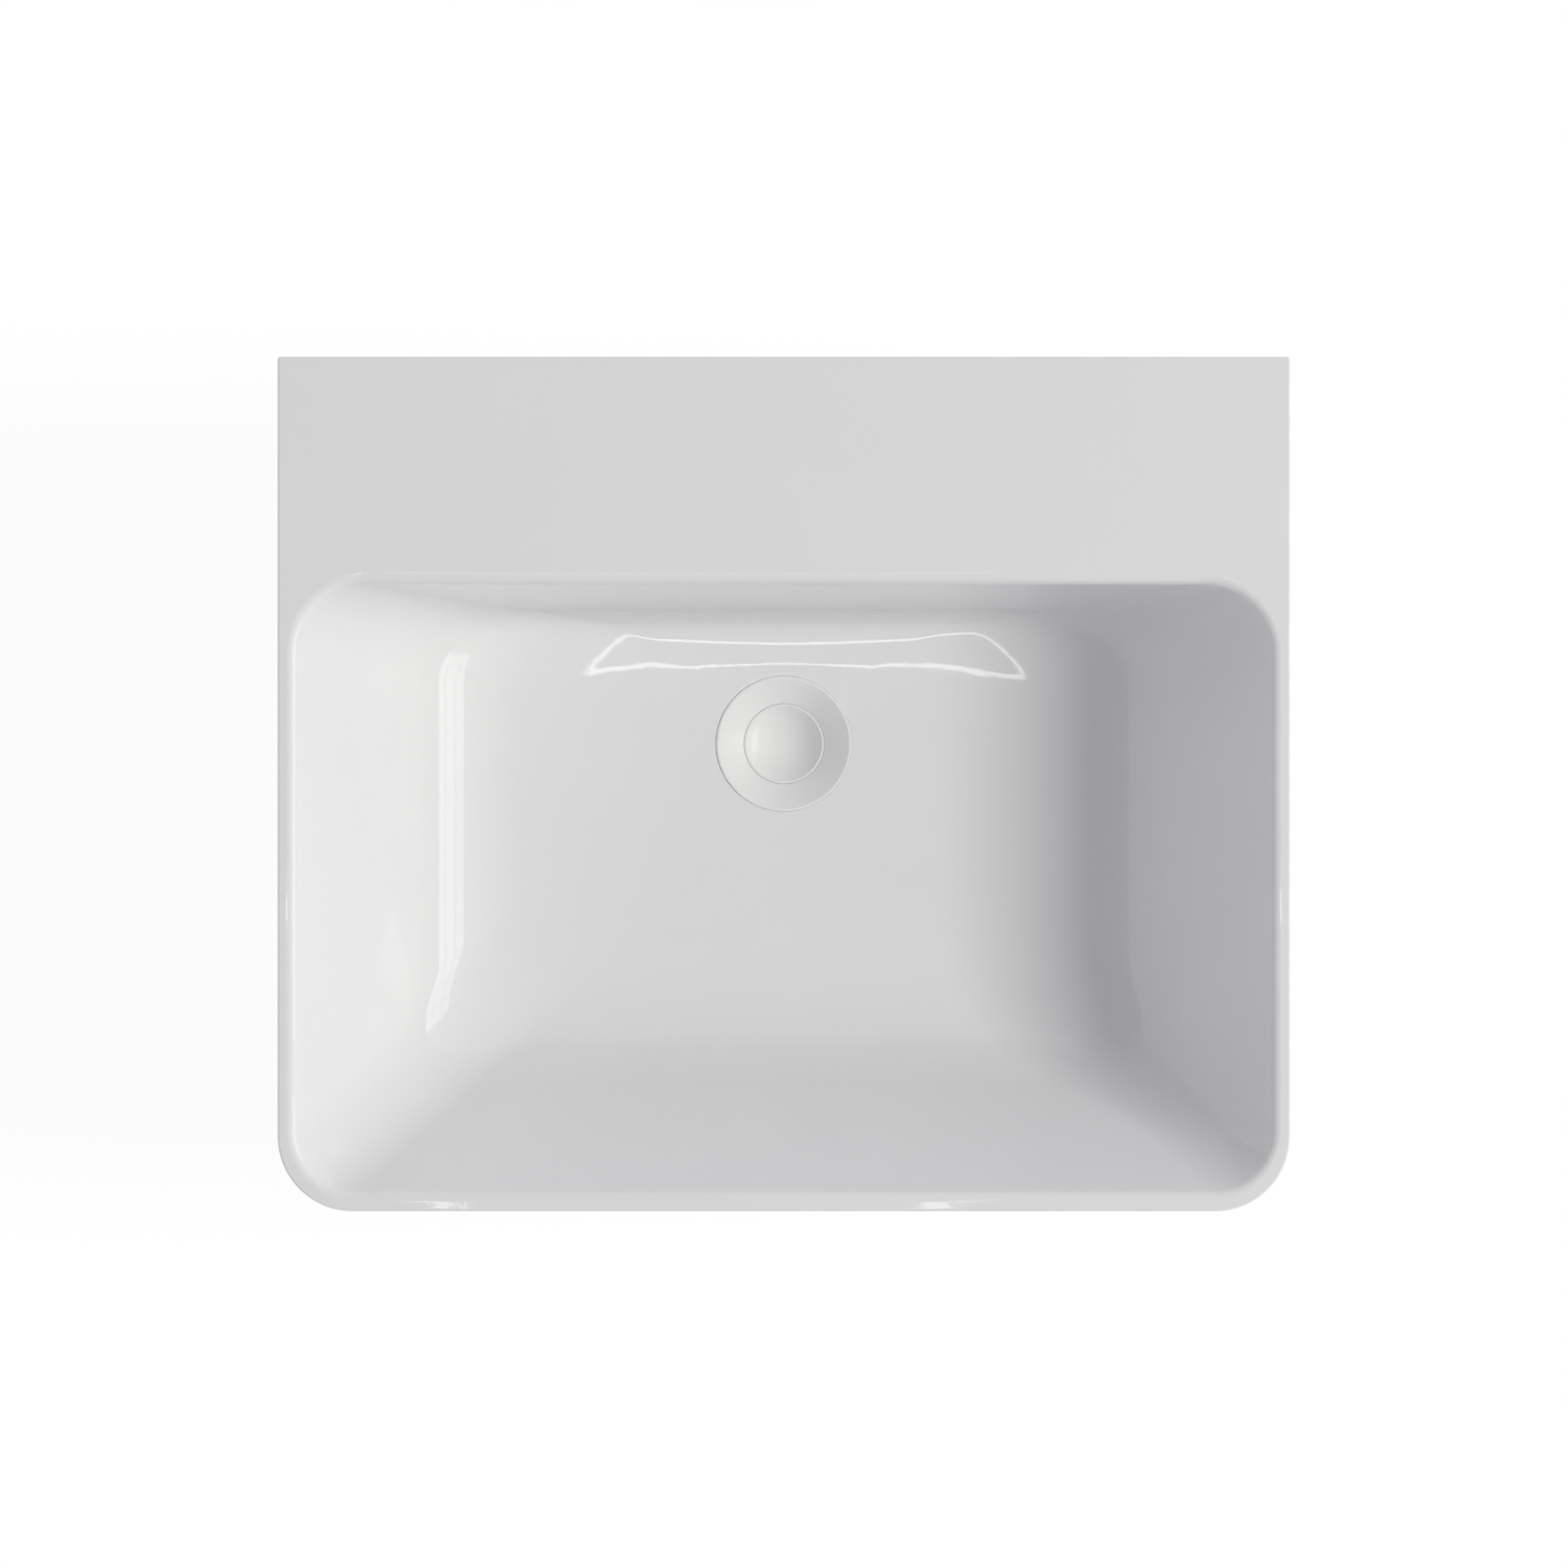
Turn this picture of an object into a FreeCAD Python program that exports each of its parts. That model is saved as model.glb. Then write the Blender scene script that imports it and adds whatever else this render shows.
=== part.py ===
import FreeCAD, Part
import math
import os

# A vanity basin in glazed ceramic with a push-to-open waste, in millimetres.
# X runs along the wall, Y points at the wall and Z is up. The origin is the middle of the
# back edge on the plane where the ground lower edge of the apron rests on its cabinet.

# Casting, outside
BASIN_WIDTH = 500.0
BASIN_DEPTH = 422.0
APRON_HEIGHT = 55.0
APRON_WALL = 9.0
BACK_WALL = 12.0
DECK_THICKNESS = 12.0
GROOVE_WIDTH = 8.0
FRONT_CORNER_R = 37.0
OUTER_EDGE_R = 1.0

# Bowl: where its walls would meet the rim plane, their tilt from level and their foot curves
SIDE_RIM = 7.6
FRONT_RIM = 8.3
DECK_DEPTH = 112.0
BOWL_DEPTH = 115.0
BOWL_WALL = 10.0
WALL_TILT = 58.0
BACK_TILT = 85.0
WALL_FOOT_R = 75.0
BACK_FOOT_R = 18.0
BACK_CORNER_R = 34.0
FRONT_BOWL_CORNER_R = 30.0
FOOT_CORNER_R = 42.0
RIM_ROLL_R = 6.0
FLOOR_FALL = 4.0
LAST_FOOT_SLOPE = 6.0
WALL_STEPS = 3
FOOT_STEPS = 5
FLOOR_STEPS = 3
SKIN_INSET = 0.5

# Outlet in the casting
OUTLET_SETBACK = 190.0
OUTLET_HOLE_R = 23.2
OUTLET_WALL = 16.0
OUTLET_MARGIN = 1.6
OUTLET_FLAT = 0.4
BOSS_R = 38.0
BOSS_FLARE_R = 8.0
FLOOR_BEFORE_OUTLET = 5.0

# Wall fixing holes in the back of the apron
WALL_HOLE_SPACING = 280.0
WALL_HOLE_R = 14.0
WALL_HOLE_DROP = 30.0
WALL_BOSS_R = 22.0
WALL_BOSS_HEIGHT = 6.0

# Waste flange: a turned dish with a pocket for the plug, a threaded neck and a three-arm bridge
FLANGE_R = 35.3
FLANGE_EDGE = 1.8
FLANGE_PROUD = 0.6
FLANGE_LAND = 1.3
FLANGE_ROUND = 0.6
FLANGE_GAP = 0.5
DISH_SLOPE = 25.0
POCKET_DEPTH = 4.2
SEAT_SLOPE = 20.0
SHOULDER_CLEARANCE = 0.5
SHOULDER_FLOOR = 2.0
NECK_R = 20.955
NECK_BORE_R = 18.2
NECK_ENGAGEMENT = 14.0
ARM_COUNT = 3
ARM_WIDTH = 3.5
ARM_ROOT = 1.0
BRIDGE_HEIGHT = 6.0
HUB_WALL = 2.5

# Seals and lower body
GASKET_THICKNESS = 2.0
GASKET_INSET = 1.2
LOWER_SEAL_R = 33.0
LOWER_SEAL_THICKNESS = 6.0
LOWER_SEAL_NOSE = 3.0
LOWER_SEAL_BEVEL = 1.5
SLIP_R = 32.0
SLIP_THICKNESS = 1.5
SLIDE_ON_CLEARANCE = 0.3
COLLAR_R = 31.5
COLLAR_THICKNESS = 4.0
HEX_FLATS = 50.0
HEX_HEIGHT = 14.0
THREAD_CLEARANCE = 0.1
SOCKET_SPARE = 1.5
HEX_CHAMFER_SLOPE = 30.0
TAIL_TAPER = 6.0
TAIL_R = 20.955
TAIL_BORE_R = 18.0
TAIL_LENGTH = 28.0
THREAD_CHAMFER = 1.0

# Plug
PLUG_R = 20.9
PLUG_SIDE_CLEARANCE = 0.5
PLUG_LIP = 2.0
PLUG_LAND = 1.0
PLUG_ROUND = 0.4
PLUG_DISH = 7.0
PLUG_SKIN = 1.8
PLUG_SKIRT_CLEARANCE = 0.8
PLUG_SKIRT_WALL = 1.2
PLUG_SKIRT_BEAD = 0.4
PLUG_BOSS_R = 5.5
PLUG_BOSS_LENGTH = 6.0
PLUG_GASKET_INSET = 0.3
PLUG_TRAVEL = 8.5

# Push-push cartridge in the bridge hub
HOUSING_R = 6.5
HOUSING_WALL = 1.3
HOUSING_FLOOR = 2.0
HOUSING_DRAIN_R = 1.5
HOUSING_ABOVE_HUB = 12.0
HOUSING_FLANGE_R = 8.4
HOUSING_FLANGE_THICKNESS = 2.5
NUT_THICKNESS = 4.0
NUT_FLATS = 18.0
GLAND_HEAD = 1.4
GLAND_PLUG = 3.0
STEM_R = 2.4
STEM_ENGAGEMENT = 5.0
PISTON_R = 3.9
PISTON_LENGTH = 7.0
SPIGOT_LENGTH = 2.0
PIN_R = 0.75
PIN_SLOT_CLEARANCE = 0.2
LATCH_STEP = 1.6
SPRING_WIRE = 0.7
SPRING_TURNS = 7
SPRING_LENGTH = 10.6
SPRING_SIDE_CLEARANCE = 0.4
SPRING_SAMPLES = 8
REST_CLEARANCE = 0.3
RUNNING_CLEARANCE = 0.1

# How far a cutter runs past the faces that it opens, how near two points count as one, and the step
# over which a slope is measured
CUT_PAST = 1.0
SAME_PLACE = 0.001
SLOPE_STEP = 0.05

UP = FreeCAD.Vector(0, 0, 1)
TO_FRONT = FreeCAD.Vector(0, -1, 0)


def tangent(angle):
    return math.tan(math.radians(angle))


# Places that several pieces share. Heights of the waste count from the bowl's floor at the outlet.
RIM_Z = APRON_HEIGHT
OUTLET_Z = RIM_Z - BOWL_DEPTH - FLOOR_FALL
OUTLET_Y = -OUTLET_SETBACK
OUTLET_AXIS = FreeCAD.Vector(0, OUTLET_Y, OUTLET_Z)
RECESS_R = FLANGE_R + FLANGE_GAP
LAND_R = FLANGE_R - FLANGE_LAND
POCKET_R = PLUG_R + PLUG_SIDE_CLEARANCE
SHOULDER_R = OUTLET_HOLE_R - SHOULDER_CLEARANCE
SLIDE_ON_R = NECK_R + SLIDE_ON_CLEARANCE
COUNTERSINK_DROP = GASKET_THICKNESS / math.cos(math.radians(DISH_SLOPE))
PLUG_TOP = FLANGE_PROUD - (LAND_R - POCKET_R) * tangent(DISH_SLOPE)
SEAT_EDGE = PLUG_TOP - POCKET_DEPTH
SEAT_FOOT = SEAT_EDGE - (POCKET_R - NECK_BORE_R) * tangent(SEAT_SLOPE)
SHOULDER_FOOT = SEAT_FOOT - SHOULDER_FLOOR


def flange_under(radius):
    """Height of the flange's conical underside at a radius."""
    return FLANGE_PROUD - FLANGE_EDGE - (FLANGE_R - radius) * tangent(DISH_SLOPE)


COUNTERSINK_FOOT = flange_under(OUTLET_HOLE_R) - COUNTERSINK_DROP
BOSS_FOOT = COUNTERSINK_FOOT - OUTLET_WALL
SLIP_TOP = BOSS_FOOT - LOWER_SEAL_THICKNESS
BODY_TOP = SLIP_TOP - SLIP_THICKNESS
NECK_FOOT = BODY_TOP - NECK_ENGAGEMENT
PLUG_BOSS_FOOT = PLUG_TOP - PLUG_DISH - PLUG_SKIN - PLUG_BOSS_LENGTH
GLAND_TOP = PLUG_BOSS_FOOT - REST_CLEARANCE
HOUSING_TOP = GLAND_TOP - GLAND_HEAD
GLAND_FOOT = HOUSING_TOP - GLAND_PLUG
PISTON_TOP = GLAND_FOOT - REST_CLEARANCE - PLUG_TRAVEL
PISTON_FOOT = PISTON_TOP - PISTON_LENGTH
PIN_HEIGHT = PISTON_TOP - PISTON_LENGTH / 2
SPRING_TOP = PISTON_FOOT - REST_CLEARANCE
SPRING_FOOT = SPRING_TOP - SPRING_LENGTH
CHAMBER_FOOT = SPRING_FOOT - REST_CLEARANCE
CHAMBER_R = HOUSING_R - HOUSING_WALL
HOUSING_FOOT = CHAMBER_FOOT - HOUSING_FLOOR
HUB_TOP = HOUSING_TOP - HOUSING_ABOVE_HUB
HUB_FOOT = HUB_TOP - BRIDGE_HEIGHT
HUB_BORE_R = HOUSING_R + THREAD_CLEARANCE
CAM_R = CHAMBER_R - RUNNING_CLEARANCE
CAM_BORE_R = PISTON_R + RUNNING_CLEARANCE
SPRING_MEAN_R = CAM_BORE_R - SPRING_SIDE_CLEARANCE - SPRING_WIRE / 2


def closed_wire(steps):
    """A closed wire from straight steps of two points and arcs of three points."""
    edges = []
    for step in steps:
        curve = Part.Arc(*step) if len(step) == 3 else Part.LineSegment(*step)
        edges.append(curve.toShape())
    return Part.Wire(edges)


def corner_arc(centre_x, centre_y, radius, start, z):
    """Three points of a quarter turn to the right, from a start angle in degrees."""
    turns = [math.radians(start - step) for step in (0, 45, 90)]
    return [
        FreeCAD.Vector(centre_x + radius * math.cos(turn), centre_y + radius * math.sin(turn), z)
        for turn in turns
    ]


def rounded_outline(half_x, y_back, y_front, r_back, r_front, z):
    """A rounded rectangle in a level plane, always started on its back edge."""
    corners = [
        corner_arc(half_x - r_back, y_back - r_back, r_back, 90, z),
        corner_arc(half_x - r_front, y_front + r_front, r_front, 0, z),
        corner_arc(-half_x + r_front, y_front + r_front, r_front, -90, z),
        corner_arc(-half_x + r_back, y_back - r_back, r_back, 180, z),
    ]
    steps = []
    for index, corner in enumerate(corners):
        steps.append([corners[index - 1][2], corner[0]])
        steps.append(corner)
    return closed_wire(steps)


def apron_outline(inset, z):
    """The basin's outline seen from above: square at the wall, rounded at the front."""
    half = BASIN_WIDTH / 2 - inset
    front = -BASIN_DEPTH + inset
    radius = FRONT_CORNER_R - inset
    back_left = FreeCAD.Vector(-half, -inset, z)
    back_right = FreeCAD.Vector(half, -inset, z)
    right = corner_arc(half - radius, front + radius, radius, 0, z)
    left = corner_arc(-half + radius, front + radius, radius, -90, z)
    return closed_wire([
        [back_left, back_right],
        [back_right, right[0]],
        right,
        [right[2], left[0]],
        left,
        [left[2], back_left],
    ])


def prism(wire, height):
    return Part.Face(wire).extrude(UP * height)


def turned(profile):
    """A solid of revolution on the outlet's axis. A corner is (radius, height) and an arc is
    (radius, height, radius, height): a point that it passes through and its end."""
    def place(radius, height):
        return OUTLET_AXIS + FreeCAD.Vector(radius, 0, height)

    steps = []
    here = place(*profile[-1][-2:])
    for entry in profile:
        points = [here] + [place(*entry[i:i + 2]) for i in range(0, len(entry), 2)]
        steps.append(points)
        here = points[-1]
    return Part.Face(closed_wire(steps)).revolve(OUTLET_AXIS, UP, 360)


def ring(inner_r, outer_r, low, high):
    return turned([(inner_r, low), (outer_r, low), (outer_r, high), (inner_r, high)])


def bar(radius, low, high):
    """A round bar on the outlet's axis between two heights."""
    return Part.makeCylinder(radius, high - low, OUTLET_AXIS + UP * low)


def hexagon(flats, low, high):
    """A hexagonal bar on the outlet's axis between two heights, with the corners turned off at both ends."""
    reach = flats / math.sqrt(3)
    corners = []
    for index in range(7):
        angle = math.radians(60 * index)
        corners.append(OUTLET_AXIS + FreeCAD.Vector(reach * math.cos(angle), reach * math.sin(angle), low))
    chamfer = (reach - flats / 2) * tangent(HEX_CHAMFER_SLOPE)
    turned_bar = turned([
        (0, low), (flats / 2, low), (reach, low + chamfer),
        (reach, high - chamfer), (flats / 2, high), (0, high),
    ])
    return Part.Face(Part.makePolygon(corners)).extrude(UP * (high - low)).common(turned_bar)


def wall_run(depth, tilt, foot_r, floor_depth):
    """How far a bowl wall has come in from its rim at a depth: a straight slope, then its foot curve."""
    slope_end = floor_depth - foot_r * (1 - math.cos(math.radians(tilt)))
    if depth <= slope_end:
        return depth / tangent(tilt)
    foot_end = slope_end / tangent(tilt) + foot_r * math.sin(math.radians(tilt))
    below_centre = depth - (floor_depth - foot_r)
    return foot_end - math.sqrt(max(foot_r ** 2 - below_centre ** 2, 0))


def front_foot_r():
    """The front wall's foot curve, smaller where a short basin leaves it less room before the outlet."""
    outlet_front = OUTLET_SETBACK + RECESS_R + OUTLET_MARGIN + OUTLET_FLAT + BOWL_WALL
    room = BASIN_DEPTH - FRONT_RIM - outlet_front - FLOOR_BEFORE_OUTLET
    return min(WALL_FOOT_R, (room - BOWL_DEPTH / tangent(WALL_TILT)) / tangent(WALL_TILT / 2))


def bowl_outline(depth, skin):
    """The bowl's outline at a depth: half width, back, front and corner rounds of its inside face,
    or of a face one skin further out."""
    side = wall_run(depth, WALL_TILT, WALL_FOOT_R + skin, BOWL_DEPTH + skin)
    front = wall_run(depth, WALL_TILT, front_foot_r() + skin, BOWL_DEPTH + skin)
    back = wall_run(depth, BACK_TILT, BACK_FOOT_R + skin, BOWL_DEPTH + FLOOR_FALL + skin)
    wall_skin = skin / math.sin(math.radians(WALL_TILT))
    back_skin = skin / math.sin(math.radians(BACK_TILT))
    half_x = BASIN_WIDTH / 2 - SIDE_RIM + wall_skin - side
    y_back = -DECK_DEPTH + back_skin - back
    y_front = -BASIN_DEPTH + FRONT_RIM - wall_skin + front
    share = depth / (BOWL_DEPTH + skin)
    room = min(half_x, (y_back - y_front) / 2) - OUTLET_FLAT
    r_back = BACK_CORNER_R + skin + (FOOT_CORNER_R - BACK_CORNER_R) * share
    r_front = FRONT_BOWL_CORNER_R + skin + (FOOT_CORNER_R - FRONT_BOWL_CORNER_R) * share
    return half_x, y_back, y_front, min(r_back, room), min(r_front, room)


def eased(start, end, leave, arrive, share):
    """A cubic from start to end as a share goes from 0 to 1, leaving and arriving at the given rates."""
    rest = 1 - share
    return (
        start * (1 + 2 * share) * rest ** 2 + end * (3 - 2 * share) * share ** 2
        + leave * share * rest ** 2 - arrive * rest * share ** 2
    )


def floor_outlines(edge_depth, skin):
    """Outlines and depths from the end of the walls' foot curves, along the floor to the outlet."""
    edge = bowl_outline(edge_depth, skin)
    above = bowl_outline(edge_depth - SLOPE_STEP, skin)
    outlet_depth = BOWL_DEPTH + FLOOR_FALL + skin
    outlet_r = RECESS_R + OUTLET_MARGIN + skin
    outlet_half = outlet_r + OUTLET_FLAT
    outlet = (outlet_half, OUTLET_Y + outlet_half, OUTLET_Y - outlet_half, outlet_r, outlet_r)
    slopes = [(value - before) / SLOPE_STEP for value, before in zip(edge, above)]
    fall_rate = (outlet[0] - edge[0]) / slopes[0]
    rates = [slope * fall_rate for slope in slopes[:3]] + [b - a for a, b in zip(edge[3:], outlet[3:])]
    outlines = []
    for step in range(1, FLOOR_STEPS + 1):
        share = step / FLOOR_STEPS
        outline = [eased(a, b, rate, b - a, share) for a, b, rate in zip(edge, outlet, rates)]
        outlines.append((outline, eased(edge_depth, outlet_depth, fall_rate, 0, share)))
    return outlines


def bowl_solid(skin):
    """The bowl as a loft: down the walls, round their foot and along the floor to the outlet."""
    foot_r = WALL_FOOT_R + skin
    floor = BOWL_DEPTH + skin
    slope_end = floor - foot_r * (1 - math.cos(math.radians(WALL_TILT)))
    depths = [slope_end * step / WALL_STEPS for step in range(WALL_STEPS)]
    for step in range(FOOT_STEPS + 1):
        angle = WALL_TILT + (LAST_FOOT_SLOPE - WALL_TILT) * step / FOOT_STEPS
        depths.append(floor - foot_r * (1 - math.cos(math.radians(angle))))
    outlines = [(bowl_outline(depth, skin), depth) for depth in depths]
    outlines += floor_outlines(depths[-1], skin)
    sections = [rounded_outline(*outline, RIM_Z - depth) for outline, depth in outlines]
    return Part.makeLoft(sections, True, False)


def strip(y_back, y_front):
    """A block as wide and high as the apron between two distances from the wall."""
    start = FreeCAD.Vector(-BASIN_WIDTH / 2, y_front, 0)
    return Part.makeBox(BASIN_WIDTH, y_back - y_front, APRON_HEIGHT, start)


def apron_and_deck():
    """The deck with its skirt, thicker at the wall. It is hollow under the deck, and has a groove beside the
    bowl that ends where the bowl's sloping wall leaves it too narrow to cast."""
    wall_skin = BOWL_WALL / math.sin(math.radians(WALL_TILT))
    groove_drop = (GROOVE_WIDTH + APRON_WALL + wall_skin - SIDE_RIM) * tangent(WALL_TILT)
    block = prism(apron_outline(0, 0), APRON_HEIGHT)
    deck_hollow = prism(apron_outline(APRON_WALL, 0), APRON_HEIGHT - DECK_THICKNESS)
    deck_hollow = deck_hollow.common(strip(-BACK_WALL, -DECK_DEPTH))
    groove = prism(apron_outline(APRON_WALL, 0), APRON_HEIGHT - groove_drop).cut(strip(0, -BACK_WALL))
    return block.cut([deck_hollow, groove])


def wall_fixing(side, radius, start_y, length):
    """A bar along Y at one of the two wall fixings."""
    start = FreeCAD.Vector(side * WALL_HOLE_SPACING / 2, start_y, RIM_Z - WALL_HOLE_DROP)
    return Part.makeCylinder(radius, length, start, TO_FRONT)


def outlet_boss():
    """The boss under the outlet, flared into the bowl's underside."""
    flare = BOSS_FLARE_R * (1 - math.sqrt(0.5))
    return turned([
        (0, BOSS_FOOT), (BOSS_R, BOSS_FOOT), (BOSS_R, -BOWL_WALL - BOSS_FLARE_R),
        (BOSS_R + flare, -BOWL_WALL - flare, BOSS_R + BOSS_FLARE_R, -BOWL_WALL),
        (BOSS_R + BOSS_FLARE_R, -BOWL_WALL / 2), (0, -BOWL_WALL / 2),
    ])


def outlet_cutter():
    """The outlet's hole and countersink, which follows the flange's underside one gasket below it."""
    mouth = flange_under(RECESS_R) - COUNTERSINK_DROP
    return turned([
        (0, BOWL_WALL), (RECESS_R, BOWL_WALL), (RECESS_R, mouth), (OUTLET_HOLE_R, COUNTERSINK_FOOT),
        (OUTLET_HOLE_R, BOSS_FOOT - BOWL_WALL), (0, BOSS_FOOT - BOWL_WALL),
    ])


def rim_edges(body, on_outline):
    """The edges in the rim plane, either those on the basin's outline or those round the bowl."""
    outline = apron_outline(0, RIM_Z)
    found = []
    for edge in body.Edges:
        middle = edge.valueAt((edge.FirstParameter + edge.LastParameter) / 2)
        points = [middle] + [vertex.Point for vertex in edge.Vertexes]
        level = all(abs(point.z - RIM_Z) < SAME_PLACE for point in points)
        outside = outline.distToShape(Part.Vertex(middle))[0] < SAME_PLACE
        if level and outside == on_outline:
            found.append(edge)
    return found


def basin():
    """The casting: deck, rim and apron with the bowl's shell hung in them, cut for the outlet and wall."""
    bowl_reach = BOWL_DEPTH + FLOOR_FALL + BOWL_WALL + CUT_PAST
    envelope = prism(apron_outline(SKIN_INSET, RIM_Z - bowl_reach), bowl_reach)
    hole_length = BACK_WALL + WALL_BOSS_HEIGHT + 2 * CUT_PAST
    body = apron_and_deck().fuse([
        bowl_solid(BOWL_WALL).common(envelope),
        outlet_boss(),
        wall_fixing(-1, WALL_BOSS_R, -BACK_WALL / 2, BACK_WALL / 2 + WALL_BOSS_HEIGHT),
        wall_fixing(1, WALL_BOSS_R, -BACK_WALL / 2, BACK_WALL / 2 + WALL_BOSS_HEIGHT),
    ])
    body = body.cut([
        bowl_solid(0),
        outlet_cutter(),
        wall_fixing(-1, WALL_HOLE_R, CUT_PAST, hole_length),
        wall_fixing(1, WALL_HOLE_R, CUT_PAST, hole_length),
    ]).removeSplitter()
    body = body.Solids[0]
    body = body.makeFillet(RIM_ROLL_R, rim_edges(body, False))
    return body.makeFillet(OUTER_EDGE_R, rim_edges(body, True))


def waste_flange():
    """The upper valve part: dish, pocket and seat for the plug, threaded neck and bridge."""
    corner = FLANGE_ROUND * (1 - math.sqrt(0.5))
    flange = turned([
        (LAND_R, FLANGE_PROUD), (FLANGE_R - FLANGE_ROUND, FLANGE_PROUD),
        (FLANGE_R - corner, FLANGE_PROUD - corner, FLANGE_R, FLANGE_PROUD - FLANGE_ROUND),
        (FLANGE_R, FLANGE_PROUD - FLANGE_EDGE), (SHOULDER_R, flange_under(SHOULDER_R)),
        (SHOULDER_R, SHOULDER_FOOT), (NECK_R, SHOULDER_FOOT), (NECK_R, NECK_FOOT + THREAD_CHAMFER),
        (NECK_R - THREAD_CHAMFER, NECK_FOOT), (NECK_BORE_R, NECK_FOOT), (NECK_BORE_R, SEAT_FOOT),
        (POCKET_R, SEAT_EDGE), (POCKET_R, PLUG_TOP),
    ])
    hub = bar(HUB_BORE_R + HUB_WALL, HUB_FOOT, HUB_TOP)
    arms = []
    for index in range(ARM_COUNT):
        arm = Part.makeBox(
            NECK_BORE_R + ARM_ROOT, ARM_WIDTH, BRIDGE_HEIGHT,
            OUTLET_AXIS + FreeCAD.Vector(0, -ARM_WIDTH / 2, HUB_FOOT),
        )
        arm.rotate(OUTLET_AXIS, UP, 90 + index * 360 / ARM_COUNT)
        arms.append(arm)
    bore = bar(HUB_BORE_R, HUB_FOOT - CUT_PAST, HUB_TOP + CUT_PAST)
    return flange.fuse([hub] + arms).cut(bore).removeSplitter()


def flange_gasket():
    """The rubber cone between the flange and the countersink."""
    inner = SHOULDER_R + GASKET_INSET
    outer = FLANGE_R - GASKET_INSET
    return turned([
        (inner, flange_under(inner)), (outer, flange_under(outer)),
        (outer, flange_under(outer) - COUNTERSINK_DROP), (inner, flange_under(inner) - COUNTERSINK_DROP),
    ])


def lower_seal():
    """The thick rubber ring under the casting, with a nose that centres it in the hole."""
    nose_r = OUTLET_HOLE_R - SLIDE_ON_CLEARANCE
    return turned([
        (SLIDE_ON_R, BOSS_FOOT + LOWER_SEAL_NOSE), ((SLIDE_ON_R + nose_r) / 2, BOSS_FOOT + LOWER_SEAL_NOSE),
        (nose_r, BOSS_FOOT), (LOWER_SEAL_R, BOSS_FOOT), (LOWER_SEAL_R, SLIP_TOP + LOWER_SEAL_BEVEL),
        (LOWER_SEAL_R - LOWER_SEAL_BEVEL, SLIP_TOP), (SLIDE_ON_R, SLIP_TOP),
    ])


def slip_washer():
    return ring(SLIDE_ON_R, SLIP_R, BODY_TOP, SLIP_TOP)


def waste_body():
    """The lower valve part: a collar and hexagon round the neck, then the tail for the trap."""
    collar_foot = BODY_TOP - COLLAR_THICKNESS
    hex_foot = collar_foot - HEX_HEIGHT
    tail_top = hex_foot - TAIL_TAPER
    tail_foot = tail_top - TAIL_LENGTH
    socket_r = NECK_R + THREAD_CLEARANCE
    socket_foot = NECK_FOOT - SOCKET_SPARE
    collar = bar(COLLAR_R, collar_foot, BODY_TOP)
    tail = turned([
        (0, collar_foot), (HEX_FLATS / 2, collar_foot), (HEX_FLATS / 2, hex_foot), (TAIL_R, tail_top),
        (TAIL_R, tail_foot + THREAD_CHAMFER), (TAIL_R - THREAD_CHAMFER, tail_foot), (0, tail_foot),
    ])
    bore = turned([
        (0, BODY_TOP + CUT_PAST), (socket_r, BODY_TOP + CUT_PAST), (socket_r, socket_foot),
        (TAIL_BORE_R, socket_foot), (TAIL_BORE_R, tail_foot - CUT_PAST), (0, tail_foot - CUT_PAST),
    ])
    return collar.fuse([hexagon(HEX_FLATS, hex_foot, collar_foot), tail]).cut(bore).removeSplitter()


def cartridge_housing():
    """The cartridge's tube, with a shoulder on the hub and a drained floor under the spring."""
    return turned([
        (HOUSING_DRAIN_R, HOUSING_FOOT), (HOUSING_R, HOUSING_FOOT), (HOUSING_R, HUB_TOP),
        (HOUSING_FLANGE_R, HUB_TOP), (HOUSING_FLANGE_R, HUB_TOP + HOUSING_FLANGE_THICKNESS),
        (HOUSING_R, HUB_TOP + HOUSING_FLANGE_THICKNESS), (HOUSING_R, HOUSING_TOP), (CHAMBER_R, HOUSING_TOP),
        (CHAMBER_R, CHAMBER_FOOT), (HOUSING_DRAIN_R, CHAMBER_FOOT),
    ])


def cartridge_nut():
    foot = HUB_FOOT - NUT_THICKNESS
    return hexagon(NUT_FLATS, foot, HUB_FOOT).cut(bar(HUB_BORE_R, foot - CUT_PAST, HUB_FOOT + CUT_PAST))


def cartridge_gland():
    """The bush that closes the housing and guides the stem."""
    bore_r = STEM_R + RUNNING_CLEARANCE
    return turned([
        (bore_r, GLAND_FOOT), (CAM_R, GLAND_FOOT), (CAM_R, HOUSING_TOP), (HOUSING_R, HOUSING_TOP),
        (HOUSING_R, GLAND_TOP), (bore_r, GLAND_TOP),
    ])


def cam_sleeve():
    """The sleeve round the plunger, with two opposite slots that end in a latch step for the pin."""
    reach = PIN_R + PIN_SLOT_CLEARANCE
    sleeve = ring(CAM_BORE_R, CAM_R, CHAMBER_FOOT, GLAND_FOOT)
    slot = Part.makeBox(
        CAM_R + CUT_PAST, 2 * reach, PLUG_TRAVEL + 2 * reach,
        OUTLET_AXIS + FreeCAD.Vector(0, -reach, PIN_HEIGHT - reach),
    )
    latch = Part.makeBox(
        CAM_R + CUT_PAST, LATCH_STEP + reach, 2 * reach,
        OUTLET_AXIS + FreeCAD.Vector(0, 0, PIN_HEIGHT - reach),
    )
    cutters = []
    for angle in (0, 180):
        cutter = slot.fuse(latch)
        cutter.rotate(OUTLET_AXIS, UP, angle)
        cutters.append(cutter)
    return sleeve.cut(cutters).removeSplitter()


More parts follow.
